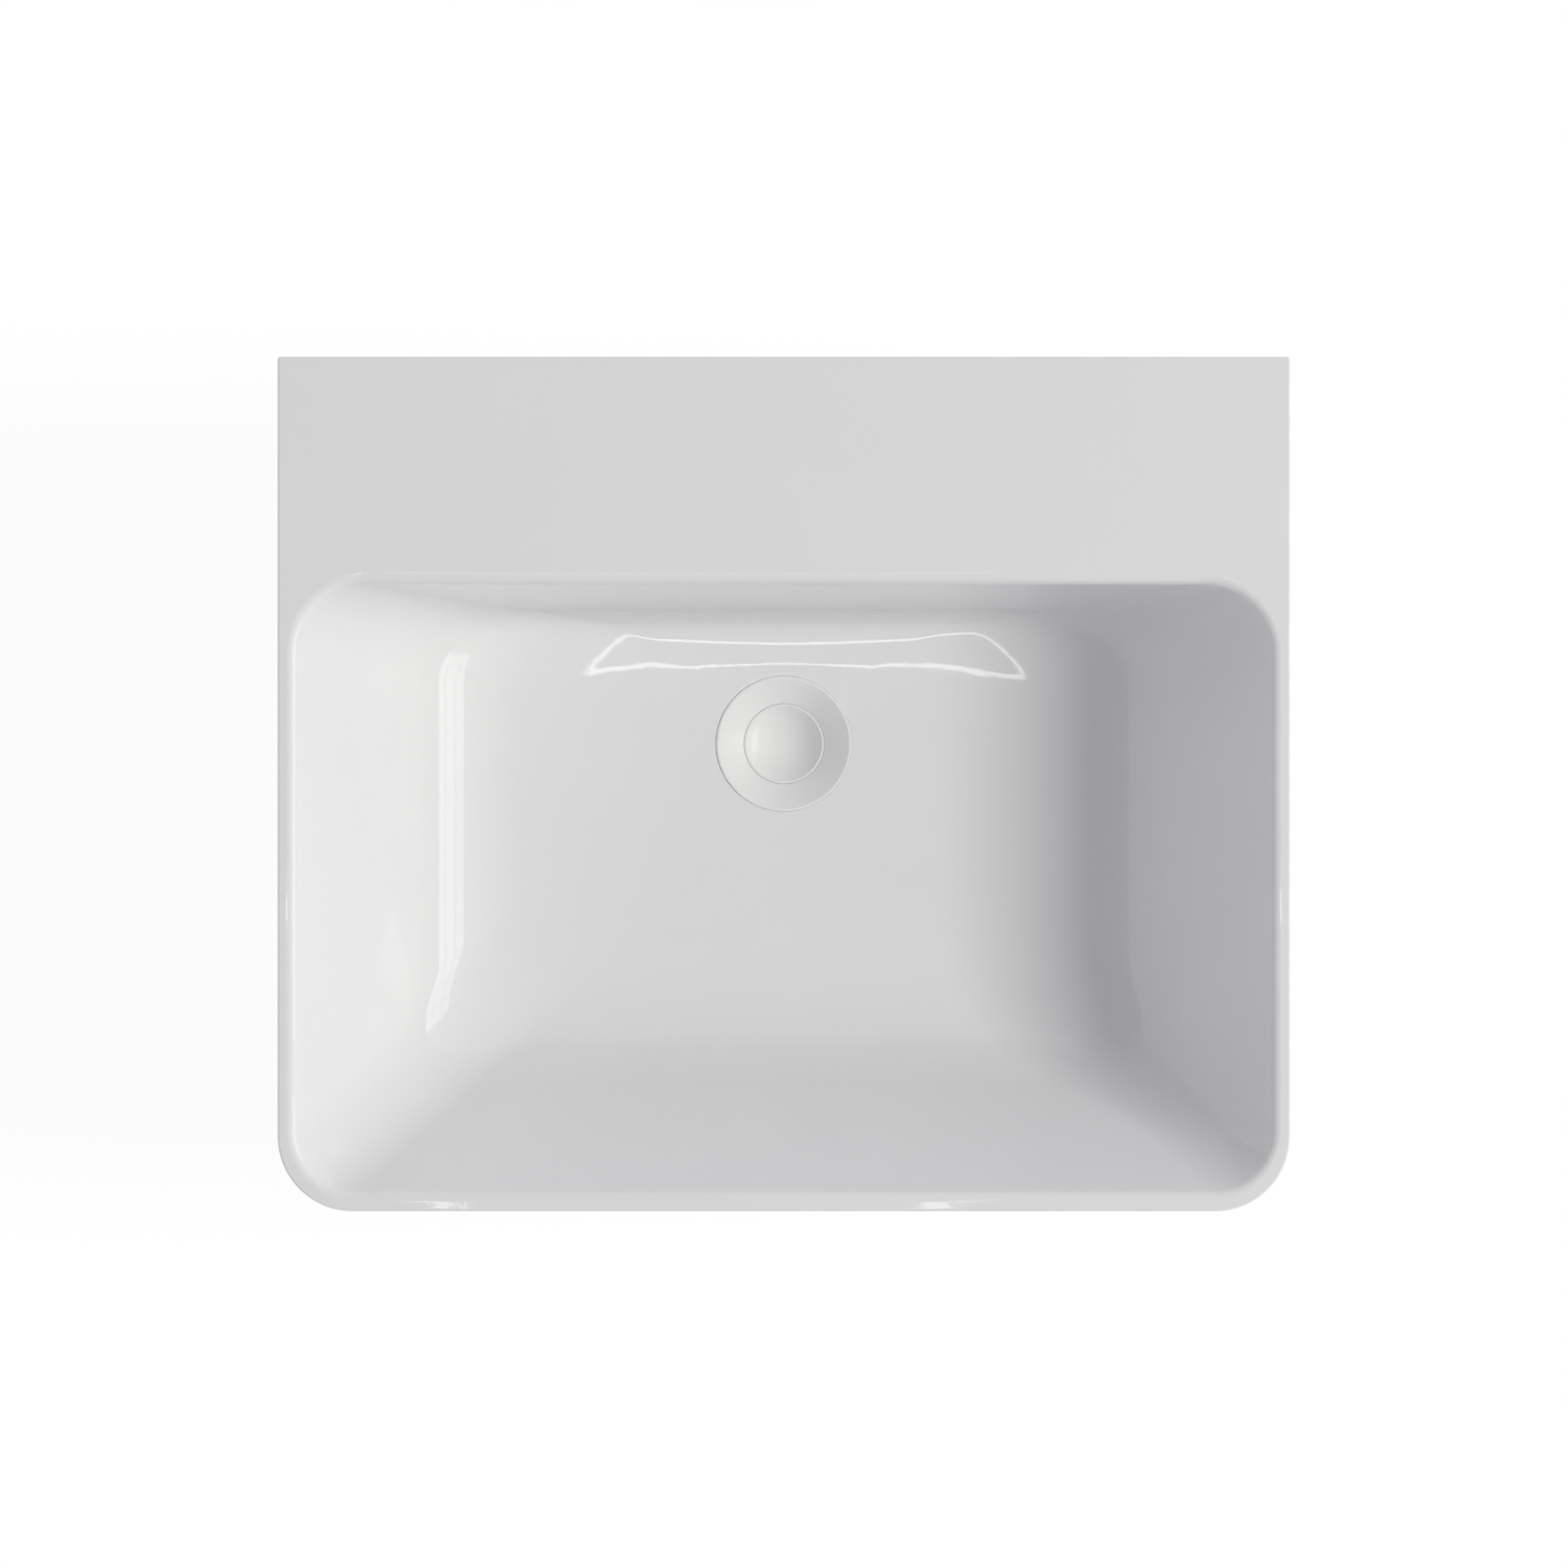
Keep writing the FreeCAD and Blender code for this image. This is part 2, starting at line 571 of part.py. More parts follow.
def dish_height(radius, skin):
    """Height of the plug's dished face, or of its underside one skin below, at a radius."""
    edge = PLUG_R - PLUG_LAND
    dish_r = (edge ** 2 + PLUG_DISH ** 2) / (2 * PLUG_DISH)
    return PLUG_TOP - PLUG_DISH + dish_r - math.sqrt((dish_r + skin) ** 2 - radius ** 2)


def plug_gasket_foot():
    """Height of the plug gasket's lowest edge, at the bore that it covers."""
    lift = REST_CLEARANCE / math.cos(math.radians(SEAT_SLOPE))
    return SEAT_FOOT + lift


def plug_cap():
    """The cap: a land round a dished face, a skirt that carries the gasket and a boss for the stem."""
    edge = PLUG_R - PLUG_LAND
    skirt_r = NECK_BORE_R - PLUG_SKIRT_CLEARANCE
    skirt_inner = skirt_r - PLUG_SKIRT_WALL
    skirt_foot = plug_gasket_foot() - PLUG_SKIRT_BEAD
    thread_top = PLUG_BOSS_FOOT + STEM_ENGAGEMENT + REST_CLEARANCE
    thread_r = STEM_R + THREAD_CLEARANCE
    under_middle = (skirt_inner + PLUG_BOSS_R) / 2
    corner = PLUG_ROUND * (1 - math.sqrt(0.5))
    return turned([
        (0, thread_top), (0, dish_height(0, 0)),
        (edge / 2, dish_height(edge / 2, 0), edge, PLUG_TOP), (PLUG_R - PLUG_ROUND, PLUG_TOP),
        (PLUG_R - corner, PLUG_TOP - corner, PLUG_R, PLUG_TOP - PLUG_ROUND),
        (PLUG_R, PLUG_TOP - PLUG_LIP), (skirt_r, PLUG_TOP - PLUG_LIP), (skirt_r, skirt_foot),
        (skirt_inner, skirt_foot), (skirt_inner, dish_height(skirt_inner, PLUG_SKIN)),
        (under_middle, dish_height(under_middle, PLUG_SKIN),
         PLUG_BOSS_R, dish_height(PLUG_BOSS_R, PLUG_SKIN)),
        (PLUG_BOSS_R, PLUG_BOSS_FOOT), (thread_r, PLUG_BOSS_FOOT), (thread_r, thread_top),
    ])


def plug_gasket():
    """The rubber ring under the cap's lip, cut to the slope of its seat."""
    inner = NECK_BORE_R - PLUG_SKIRT_CLEARANCE
    outer = PLUG_R - PLUG_GASKET_INSET
    foot = plug_gasket_foot()
    outer_foot = foot + (outer - NECK_BORE_R) * tangent(SEAT_SLOPE)
    top = PLUG_TOP - PLUG_LIP
    return turned([(inner, foot), (NECK_BORE_R, foot), (outer, outer_foot), (outer, top), (inner, top)])


def plug_stem():
    """The plunger with its stem, a spigot for the spring and a hole for the cross pin."""
    spigot_r = SPRING_MEAN_R - SPRING_WIRE / 2 - REST_CLEARANCE
    stem = turned([
        (0, PISTON_FOOT - SPIGOT_LENGTH), (spigot_r, PISTON_FOOT - SPIGOT_LENGTH), (spigot_r, PISTON_FOOT),
        (PISTON_R, PISTON_FOOT), (PISTON_R, PISTON_TOP), (STEM_R, PISTON_TOP),
        (STEM_R, PLUG_BOSS_FOOT + STEM_ENGAGEMENT), (0, PLUG_BOSS_FOOT + STEM_ENGAGEMENT),
    ])
    return stem.cut(pin_bar(PIN_R, PISTON_R + CUT_PAST))


def pin_bar(radius, half_length):
    """A bar along X through the plunger."""
    start = OUTLET_AXIS + FreeCAD.Vector(-half_length, 0, PIN_HEIGHT)
    return Part.makeCylinder(radius, 2 * half_length, start, FreeCAD.Vector(1, 0, 0))


def cross_pin():
    return pin_bar(PIN_R, CAM_R - RUNNING_CLEARANCE)


def spring_point(turns):
    """A point of the spring's centre line and its direction, a number of turns up from its foot."""
    rise = (SPRING_LENGTH - SPRING_WIRE) / SPRING_TURNS
    angle = 2 * math.pi * turns
    point = FreeCAD.Vector(
        SPRING_MEAN_R * math.cos(angle), SPRING_MEAN_R * math.sin(angle),
        SPRING_FOOT + SPRING_WIRE / 2 + rise * turns,
    )
    heading = FreeCAD.Vector(
        -SPRING_MEAN_R * math.sin(angle), SPRING_MEAN_R * math.cos(angle), rise / (2 * math.pi)
    )
    return OUTLET_AXIS + point, heading.normalize()


def tangent_arc(start, control, end):
    """The arc from start to end whose end tangents meet at a control point."""
    middle = (start + end) * 0.5
    half_chord = (end - start).Length / 2
    half_turn = math.acos(half_chord / (control - start).Length)
    rise = half_chord * math.tan(half_turn / 2)
    return Part.Arc(start, middle + (control - middle).normalize() * rise, end).toShape()


def quarter_turn(start_turns):
    """Two tangent arcs that carry the spring's centre line through a quarter turn."""
    start, heading = spring_point(start_turns)
    end, end_heading = spring_point(start_turns + 0.25)
    chord = end - start
    a = 2 * (heading.dot(end_heading) - 1)
    b = -2 * chord.dot(heading + end_heading)
    c = chord.dot(chord)
    reach = (-b - math.sqrt(b * b - 4 * a * c)) / (2 * a)
    first = start + heading * reach
    second = end - end_heading * reach
    joint = (first + second) * 0.5
    return [tangent_arc(start, first, joint), tangent_arc(joint, second, end)]


def plug_spring():
    """The spring as one wire swept up its turns."""
    edges = []
    for quarter in range(4 * SPRING_TURNS):
        edges += quarter_turn(quarter / 4)
    start, heading = spring_point(0)
    section = Part.Wire(Part.makeCircle(SPRING_WIRE / 2, start, heading))
    return Part.Wire(edges).makePipeShell([section], True, False)


def spring_gap():
    """The least gap between the spring's turns, on points that are over half a turn apart."""
    points = [spring_point(step / SPRING_SAMPLES)[0] for step in range(SPRING_SAMPLES * SPRING_TURNS + 1)]
    apart = SPRING_SAMPLES // 2 + 1
    gaps = [
        (points[late] - points[early]).Length
        for early in range(len(points)) for late in range(early + apart, len(points))
    ]
    return min(gaps) - SPRING_WIRE


PIECES = [
    basin, waste_flange, flange_gasket, lower_seal, slip_washer, waste_body,
    cartridge_housing, cartridge_nut, cartridge_gland, cam_sleeve,
    plug_cap, plug_gasket, plug_stem, cross_pin, plug_spring,
]

os.makedirs("parts", exist_ok=True)
for piece in PIECES:
    shape = piece()
    print(piece.__name__, shape.isValid(), len(shape.Solids), round(shape.Volume, 1), len(shape.Faces))
    shape.exportStep("parts/" + piece.__name__ + ".step")
print("least gap between the spring's turns:", round(spring_gap(), 2))
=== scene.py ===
import math

import bmesh
import bpy
from bpy.props import FloatProperty, FloatVectorProperty, IntProperty, PointerProperty
from mathutils import Matrix, Vector


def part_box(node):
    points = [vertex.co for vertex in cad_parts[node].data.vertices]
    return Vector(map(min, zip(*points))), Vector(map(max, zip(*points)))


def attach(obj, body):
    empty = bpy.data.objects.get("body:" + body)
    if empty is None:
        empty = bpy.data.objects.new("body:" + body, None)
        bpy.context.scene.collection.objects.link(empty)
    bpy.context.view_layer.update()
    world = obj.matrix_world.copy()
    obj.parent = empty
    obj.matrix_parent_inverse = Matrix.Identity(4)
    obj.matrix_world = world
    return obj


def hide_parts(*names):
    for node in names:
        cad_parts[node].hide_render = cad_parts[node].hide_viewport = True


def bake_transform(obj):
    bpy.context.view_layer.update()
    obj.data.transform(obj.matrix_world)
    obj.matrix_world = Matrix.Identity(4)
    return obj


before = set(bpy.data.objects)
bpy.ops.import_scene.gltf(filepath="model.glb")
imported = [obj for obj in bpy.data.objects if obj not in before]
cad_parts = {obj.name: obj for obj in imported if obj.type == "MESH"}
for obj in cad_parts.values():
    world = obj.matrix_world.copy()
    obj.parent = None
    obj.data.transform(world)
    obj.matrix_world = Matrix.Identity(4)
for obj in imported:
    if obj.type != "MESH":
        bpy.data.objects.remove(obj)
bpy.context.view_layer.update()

bl_info = {
    "name": "Vanity basin",
    "version": (1, 0, 0),
    "blender": (4, 5, 0),
    "location": "View3D > Sidebar > Basin",
    "description": "Dresses the frame of a vanity basin: glazed casting, push-to-open waste and studio stage",
    "category": "Object",
}

# The frame at rest, in metres. X runs along the wall, Y points at the wall and Z is up.
BASIN_LOW, BASIN_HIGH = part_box("basin")
FLANGE_LOW, FLANGE_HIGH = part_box("waste_flange")
BODY_LOW, BODY_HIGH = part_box("waste_body")
SEAL_LOW, SEAL_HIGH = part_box("lower_seal")
SLIP_LOW, SLIP_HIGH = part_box("slip_washer")
CAP_LOW, CAP_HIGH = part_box("plug_cap")
SPRING_LOW, SPRING_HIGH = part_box("plug_spring")
STEM_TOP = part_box("plug_stem")[1].z
NUT_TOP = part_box("cartridge_nut")[1].z
AXIS = Vector((0, (FLANGE_LOW.y + FLANGE_HIGH.y) / 2, 0))
MM = 0.001

# Steps of the casting's rings, counted along half of its outline from the middle of the back
BACK_STEPS = 44
CORNER_STEPS = 24
SIDE_STEPS = 52
REAR_BACK_STEPS = 5
REAR_ROUND_STEPS = 6
REAR_SIDE_STEPS = CORNER_STEPS - REAR_BACK_STEPS - REAR_ROUND_STEPS
HALF_STEPS = 2 * (BACK_STEPS + CORNER_STEPS) + SIDE_STEPS

# Rings of the casting, from the outlet up to the rim, over the apron and back under the bowl
FLOOR_RINGS = 26
FOOT_RINGS = 26
WALL_RINGS = 9
ROLL_RINGS = 10
DECK_RINGS = 8
EDGE_RINGS = 6
APRON_RINGS = 5
ROUND_STEPS = 5
CEILING_RINGS = 6
UNDER_WALL_RINGS = 6
UNDER_FOOT_RINGS = 12
UNDER_FLOOR_RINGS = 9

# Small forms of the casting
LAST_FOOT_SLOPE = math.radians(6)
SLOPE_STEP = 0.05 * MM
WALL_TOP = 1.15
OUTLET_EDGE_R = 0.2 * MM
SINK_EDGE_R = 0.5 * MM
REAR_CORNER_R = 1.5 * MM
LEAST_CORNER_R = 0.3 * MM
GROUND_EDGE_R = 1.0 * MM
CAST_ROUND = 5.0 * MM
EDGE_SUPPORT = 0.4 * MM
STEP_EASE = 40.0 * MM
BORE_SEGMENTS = 96

# Turned pieces: segments, clearances and edge rounds
TURN_SEGMENTS = 144
BODY_SEGMENTS = 192
PLUG_FACE_RINGS = 24
PLUG_UNDER_RINGS = 8
THREAD_CLEARANCE = 0.1 * MM
SLIDE_CLEARANCE = 0.3 * MM
STEM_CLEARANCE = 0.25 * MM
TURNED_EDGE_R = 0.4 * MM
TAIL_END_R = 0.8 * MM
FLANGE_EDGE_R = 0.3 * MM
LAND_EDGE_R = 0.75 * MM
NECK_END_R = 0.9 * MM
POCKET_EDGE_R = 0.15 * MM
PLUG_EDGE_R = 0.25 * MM
SEAL_EDGE_R = 0.5 * MM
SEAL_FOOT_R = 1.5 * MM
HUB_EDGE_R = 0.5 * MM
ARM_EDGE_R = 1.0 * MM
ARM_EDGE_STEPS = 4
ARM_BITE = 0.5 * MM
ROUND_SHARE = 0.48
POLE = 1e-7
SMOOTH_ANGLE = math.radians(32)

# Thread and spring. The flanks of a thread run between two shares of its pitch, counted from a crest.
THREAD_RING_GAP = 0.22 * MM
FLANK_START = 0.07
FLANK_END = 0.43
COIL_STEPS = 40
WIRE_SEGMENTS = 16

# Finishes: the share of fine ripple in the glaze's relief, and how far patches and lathe marks change the
# roughness of metal, as shares of it
RIPPLE_SHARE = 0.03
METAL_PATCHES = 0.6
METAL_MARKS = 0.5

SENSOR_WIDTH = 36.0


def size(description, millimetres):
    """A length that a user can change, given in millimetres and kept in metres."""
    return FloatProperty(
        description=description, default=millimetres * MM, precision=5, unit="LENGTH", subtype="DISTANCE"
    )


def slope(description, degrees):
    """An angle that a user can change, given in degrees."""
    angle = math.radians(degrees)
    return FloatProperty(description=description, default=angle, unit="ROTATION", subtype="ANGLE")


def amount(description, value):
    """A plain number that a user can change."""
    return FloatProperty(description=description, default=value)


def whole(description, value):
    """A whole number that a user can change."""
    return IntProperty(description=description, default=value)


def tint(description, colour):
    """A colour that a user can change."""
    return FloatVectorProperty(
        description=description, default=colour, size=3, min=0, max=1, subtype="COLOR"
    )


class CastingSizes(bpy.types.PropertyGroup):
    """Sizes of the ceramic casting."""
    width: size("Along the wall", (BASIN_HIGH.x - BASIN_LOW.x) / MM)
    depth: size("From the wall to the front", (BASIN_HIGH.y - BASIN_LOW.y) / MM)
    rim: size("From the ground lower edge of the apron up to the rim", BASIN_HIGH.z / MM)
    side_rim: size("From the side to where the bowl's wall meets the rim plane", 7.6)
    front_rim: size("From the front to where the bowl's wall meets the rim plane", 8.3)
    deck: size("From the wall to where the bowl's wall meets the rim plane", 112)
    bowl_depth: size("From the rim to the end of the walls' foot curves", 115)
    bowl_wall: size("Thickness of the bowl", 10)
    wall_tilt: slope("Side and front walls, from level", 58)
    back_tilt: slope("Back wall, from level", 85)
    wall_foot: size("Foot curve of the side and front walls", 75)
    back_foot: size("Foot curve of the back wall", 18)
    back_corner: size("Corner round of the bowl at the back of the rim", 34)
    front_corner: size("Corner round of the bowl at the front of the rim", 30)
    foot_corner: size("Corner round at the foot of the walls", 42)
    rim_roll: size("Round between the rim and the bowl", 6)
    floor_fall: size("How far the floor falls to the outlet", 4)
    outlet_slope: slope("Slope of the floor where it comes to the front of the outlet", 1.6)
    outlet_margin: size("From the outlet's recess to where the floor begins", 1.6)
    outer_corner: size("Round of the front corners", 37)
    outer_edge: size("Round of the rim's outer edge", 1)
    apron_wall: size("Thickness of the apron", 9)
    back_wall: size("Thickness of the apron at the wall", 12)
    deck_thickness: size("Thickness of the deck", 12)
    groove: size("Width of the hollow beside the bowl where it ends", 8)
    boss: size("Radius of the boss under the outlet", 38)
    boss_flare: size("Round between the boss and the bowl", 8)
    outlet_hole: size("Radius of the hole for the waste", 23.2)
    wall_holes: size("Spacing of the two wall holes", 280)
    wall_hole: size("Radius of a wall hole", 14)
    wall_hole_drop: size("From the rim down to the wall holes", 30)
    wall_boss: size("Radius of the boss round a wall hole", 22)
    wall_boss_height: size("How far that boss stands off the wall", 6)


class WasteSizes(bpy.types.PropertyGroup):
    """Sizes of the push-to-open waste."""
    flange: size("Radius of the flange", (FLANGE_HIGH.x - FLANGE_LOW.x) / 2 / MM)
    flange_edge: size("Thickness of the flange at its edge", 1.8)
    flange_proud: size("How far the flange stands over the floor", 0.6)
    flange_land: size("Width of the flat land round the dish", 1.3)
    flange_gap: size("Between the flange and its recess", 0.05)
    dish_slope: slope("Slope of the flange's dish", 25)
    gasket: size("Thickness of the gasket under the flange", 2)
    shoulder: size("Radius of the shoulder in the casting's hole", 22.7)
    shoulder_floor: size("From the foot of the seat to the foot of the shoulder", 2)
    pocket: size("Radius of the pocket round the plug", 21.0)
    pocket_depth: size("From the top of the pocket to the seat", 4.2)
    seat_slope: slope("Slope of the plug's seat", 20)
    neck: size("Radius over the neck's thread", 20.955)
    neck_bore: size("Radius of the bore through the neck", 18.2)
    arms: whole("Arms that carry the hub", 3)
    arm_width: size("Width of a bridge arm", 3.5)
    hub_bore: size("Radius of the bore for the cartridge", 6.6)
    hub_wall: size("Wall of the hub", 2.5)
    hub_height: size("Height of the hub", 6)
    collar_height: size("Height of the lower body's collar", 4)
    hex_flats: size("Across the flats of the lower body", 50)
    hex_height: size("Height of the hexagon", 14)
    hex_chamfer: slope("Slope that the hexagon's corners are turned off at", 30)
    taper: size("From the hexagon to the tail's thread", 6)
    tail_bore: size("Radius of the bore through the tail", 18)
    socket_spare: size("Socket below the neck's end", 1.5)
    pitch: size("Pitch of the pipe threads", 2.309)
    thread_depth: size("Depth of the pipe threads", 1.35)
    plug_land: size("Width of the land round the plug's dish", 1)
    plug_lip: size("Thickness of the plug's lip", 2)
    plug_dish: size("Depth of the plug's dish", 7)
    plug_skin: size("Thickness of the dish", 1.8)
    skirt: size("Radius of the skirt that carries the gasket", 17.4)
    skirt_wall: size("Thickness of the skirt", 1.2)
    plug_boss: size("Radius of the boss for the stem", 5.5)
    plug_boss_length: size("Length of the boss for the stem", 6)
    stem: size("Radius of the plug's stem", 2.4)
    wire: size("Diameter of the spring's wire", 0.7)
    coils: whole("Coils of the spring", 7)


class Finishes(bpy.types.PropertyGroup):
    """Colours of the finishes."""
    glaze: tint("Fired white glaze", (0.85, 0.85, 0.855))
    # Glaze on the rim's rounds: a touch warmer where it runs thin, and a touch lighter as a painted highlight
    thin_glaze_and_highlight: tint("Glaze where it has drawn away from an edge", (0.86, 0.858, 0.85))
    coat: tint("Gloss white coat on the flange and the plug", (0.87, 0.87, 0.87))
    chrome: tint("Bright plating", (0.66, 0.67, 0.69))
    brass: tint("Turned brass", (0.72, 0.52, 0.24))
    steel: tint("Drawn stainless wire", (0.56, 0.56, 0.57))
    rubber: tint("Moulded black rubber", (0.028, 0.028, 0.030))
    acetal: tint("Moulded natural acetal", (0.80, 0.79, 0.75))


class StageSettings(bpy.types.PropertyGroup):
    """The camera, the floor and the light."""
    view_width: size("Width of the picture at the rim", 774)
    view_height: size("From the rim up to the camera", 2100)
    key_side: size("Width and height of the soft key light", 2300)
    key_distance: size("From the basin to the key light", 8000)
    key_rise: slope("How high the key light stands over the basin", 43)
    key_power: amount("Power of the key light in watts", 345)
    key_tint: tint("Colour of the key light", (1.0, 1.0, 0.94))
    fill_low: amount("Strength of the light from the horizon", 0.84)
    fill_high: amount("Strength of the light from overhead", 0.22)
    fill_tint: tint("Colour of the light from all round", (0.945, 0.938, 1.0))
    window_width: size("Width of the window that shows in the glaze", 5200)
    window_distance: size("From the basin to that window", 5000)
    window_low: slope("Where the window begins over the horizon", 8)
    window_high: slope("Where the window ends over the horizon", 35.5)
    window_columns: whole("Panes side by side", 5)
    window_rows: whole("Panes one over the other", 3)
    window_bar: size("Width of the bars between the panes", 90)
    window_glow: amount("Radiance of the panes", 2.0)
    frame_rise: size("From the rim up to the frame of thin light bars overhead", 12000)
    near_bar: size("Width of the bar over the outlet", 120)
    near_bar_back: size("From the middle of the basin back to that bar", -405)
    near_bar_left: size("Left end of that bar", -1300)
    near_bar_right: size("Right end of that bar", 700)
    far_bar: size("Width of the bar in front of the basin", 420)
    far_bar_back: size("From the middle of the basin back to that bar", -3000)
    far_bar_left: size("Left end of that bar", -850)
    far_bar_right: size("Right end of that bar", 240)
    end_bar: size("Width of the two bars that close the frame", 80)
    frame_glow: amount("Radiance of those bars", 6.0)
    card_distance: size("From the basin to the dark card on its left", 1500)
    card_width: size("Width of that card", 12000)
    card_tone: amount("Tone of that card where it is dark", 0.3)
    card_dark: size("Height over the rim up to which that card is dark", 400)
    card_height: size("Height over the rim at which that card has paled to white", 4600)
    floor_side: size("Side of the floor", 12000)
    floor_matt: amount("Tone of the floor for the light that it throws back", 0.80)
    floor_faint: amount("Tone of the thin matt coat that shows shadows on the floor", 0.12)
    floor_glow: amount("Brightness of the floor under that coat", 0.92)
    backdrop: tint("Floor and surroundings as the camera sees them", (1.0, 1.0, 1.0))


# Helpers for meshes

def spread(start, end, steps):
    """Values from start to end in equal steps, both ends included."""
    return [start + (end - start) * step / steps for step in range(steps + 1)]


def full_turn(segments):
    """Angles of a whole turn."""
    return spread(0, math.tau, segments)[:-1]


def half_turn():
    """Angles from the back round the right side to the front, one for each place of half an outline."""
    return spread(math.pi / 2, -math.pi / 2, HALF_STEPS)


def quarter_round(radius, steps):
    """Pairs of distances along a quarter of a circle, from (0, radius) to (radius, 0)."""
    angles = spread(0, math.pi / 2, steps)
    return [(radius * (1 - math.cos(at)), radius * (1 - math.sin(at))) for at in angles]


def arc(radius, height, angles, centre=AXIS):
    """Points round an upright axis at a height, or one point at a pole."""
    if radius < POLE:
        return [centre + Vector((0, 0, height))]
    return [centre + Vector((radius * math.cos(at), radius * math.sin(at), height)) for at in angles]


def new_piece(name, mesh):
    """An object at the origin that holds a mesh."""
    piece = bpy.data.objects.new(name, mesh)
    bpy.context.scene.collection.objects.link(piece)
    return piece


def smooth(mesh):
    """Shades a mesh smooth, apart from its sharp edges."""
    mesh.shade_smooth()
    mesh.set_sharp_from_angle(angle=SMOOTH_ANGLE)


def closed_mesh(name, rings, wraps):
    """A mesh over rings of equal length, or single points at a pole. It can wrap from the last ring to the
    first."""
    shape = bmesh.new()
    loops = [[shape.verts.new(point) for point in ring] for ring in rings]
    pairs = list(zip(loops, loops[1:] + loops[:1]))
    for low, high in pairs if wraps else pairs[:-1]:
        count = max(len(low), len(high))
        for step in range(count):
            ends = [(low, step), (low, step + 1), (high, step + 1), (high, step)]
            corners = [loop[at % count % len(loop)] for loop, at in ends]
            shape.faces.new(list(dict.fromkeys(corners)))
    bmesh.ops.recalc_face_normals(shape, faces=shape.faces[:])
    mesh = bpy.data.meshes.new(name)
    shape.to_mesh(mesh)
    shape.free()
    smooth(mesh)
    return mesh


def freeze(piece):
    """Makes what the modifiers give the piece's own mesh, and removes them."""
    seen = piece.evaluated_get(bpy.context.evaluated_depsgraph_get())
    mesh = bpy.data.meshes.new_from_object(seen)
    piece.modifiers.clear()
    piece.data = mesh


def rounded(corners, closed=True):
    """Points of a profile from its corners, (radius, height, round), with each round as an arc."""
    points = []
    count = len(corners)
    for index, (radius, height, round_r) in enumerate(corners):
        here = Vector((radius, height))
        if round_r == 0 or (not closed and index in (0, count - 1)):
            points.append(here)
            continue
        before = Vector(corners[index - 1][:2]) - here
        after = Vector(corners[(index + 1) % count][:2]) - here
        half_angle = before.angle(after) / 2
        room = min(before.length, after.length) * ROUND_SHARE
        cut = min(round_r / math.tan(half_angle), room)
        inward = (before.normalized() + after.normalized()).normalized()
        centre = here + inward * (cut / math.cos(half_angle))
        first = here + before.normalized() * cut - centre
        last = here + after.normalized() * cut - centre
        start = math.atan2(first.y, first.x)
        turn = (math.atan2(last.y, last.x) - start + math.pi) % math.tau - math.pi
        for share in spread(0, 1, ROUND_STEPS):
            at = start + turn * share
            points.append(centre + Vector((math.cos(at), math.sin(at))) * first.length)
    return points


def turned(name, profile, wraps=True):
    """A piece turned on the outlet's axis from the points of its profile."""
    rings = [arc(point.x, point.y, full_turn(TURN_SEGMENTS)) for point in profile]
    return new_piece(name, closed_mesh(name, rings, wraps))


def ring_section(inner, outer, low, high, edge_r):
    """The section of a plain ring with soft edges."""
    return rounded([(inner, high, edge_r), (outer, high, edge_r), (outer, low, edge_r), (inner, low, edge_r)])


def dress(piece, body, slot, node, *finishes):
    """Gives a piece its finishes and the body that it rides on, and hides the node of the frame that it
    stands for.
    """
    piece.data.materials.clear()
    for name in finishes:
        piece.data.materials.append(finish(name))
    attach(piece, body)
    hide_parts(node)


def finish_nodes(name, *nodes):
    """Gives a finish to pieces of the frame that keep their own shape."""
    for node in nodes:
        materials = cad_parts[node].data.materials
        for index in range(len(materials)):
            materials[index] = finish(name)


# Helpers for node trees

def feed(tree, node, inputs):
    """Feeds a node's inputs with sockets or plain values."""
    for key, value in inputs.items():
        if isinstance(value, bpy.types.NodeSocket):
            tree.links.new(value, node.inputs[key])
        else:
            node.inputs[key].default_value = value


def place(tree, kind, inputs=None, **settings):
    """Adds a node, sets it up, feeds its inputs and gives its outputs."""
    node = tree.nodes.new(kind)
    for key, value in settings.items():
        setattr(node, key, value)
    feed(tree, node, inputs or {})
    return node.outputs


def result(tree, kind, inputs=None, **settings):
    """Adds a node in the same way and gives its first output."""
    return place(tree, kind, inputs, **settings)[0]


def maths(tree, operation, *values):
    """The result of one sum on sockets or plain numbers."""
    return result(tree, "ShaderNodeMath", dict(enumerate(values)), operation=operation)


def new_group(name, kind, inputs, outputs):
    """A node group with named sockets: the group, its inputs and the node that takes its outputs."""
    group = bpy.data.node_groups.new(name, kind)
    for in_out, sockets in (("INPUT", inputs), ("OUTPUT", outputs)):
        for label, socket in sockets.items():
            group.interface.new_socket(label, in_out=in_out, socket_type="NodeSocket" + socket)
    return group, place(group, "NodeGroupInput"), group.nodes.new("NodeGroupOutput")


def new_shape_tree(name, inputs):
    """A tree of geometry nodes that takes a shape, the given inputs and a material."""
    inputs = {"Geometry": "Geometry", **inputs, "Material": "Material"}
    return new_group(name, "GeometryNodeTree", inputs, {"Geometry": "Geometry"})


def end_shape_tree(tree, given, out, shape):
    """Ends a tree of geometry nodes in real faces with a material."""
    real = result(tree, "GeometryNodeRealizeInstances", {"Geometry": shape})
    coated = result(tree, "GeometryNodeSetMaterial", {"Geometry": real, "Material": given["Material"]})
    feed(tree, out, {"Geometry": coated})


def shared_group(name, build):
    """A node group, built the first time that it is asked for."""
    return bpy.data.node_groups.get(name) or build(name)


def run_tree(piece, tree, values):
    """Runs a tree of geometry nodes on a piece with the given inputs and keeps the mesh that it makes."""
    modifier = piece.modifiers.new(tree.name, "NODES")
    modifier.node_group = tree
    for item in tree.interface.items_tree:
        if item.in_out == "INPUT" and item.name in values:
            modifier[item.identifier] = values[item.name]
    freeze(piece)


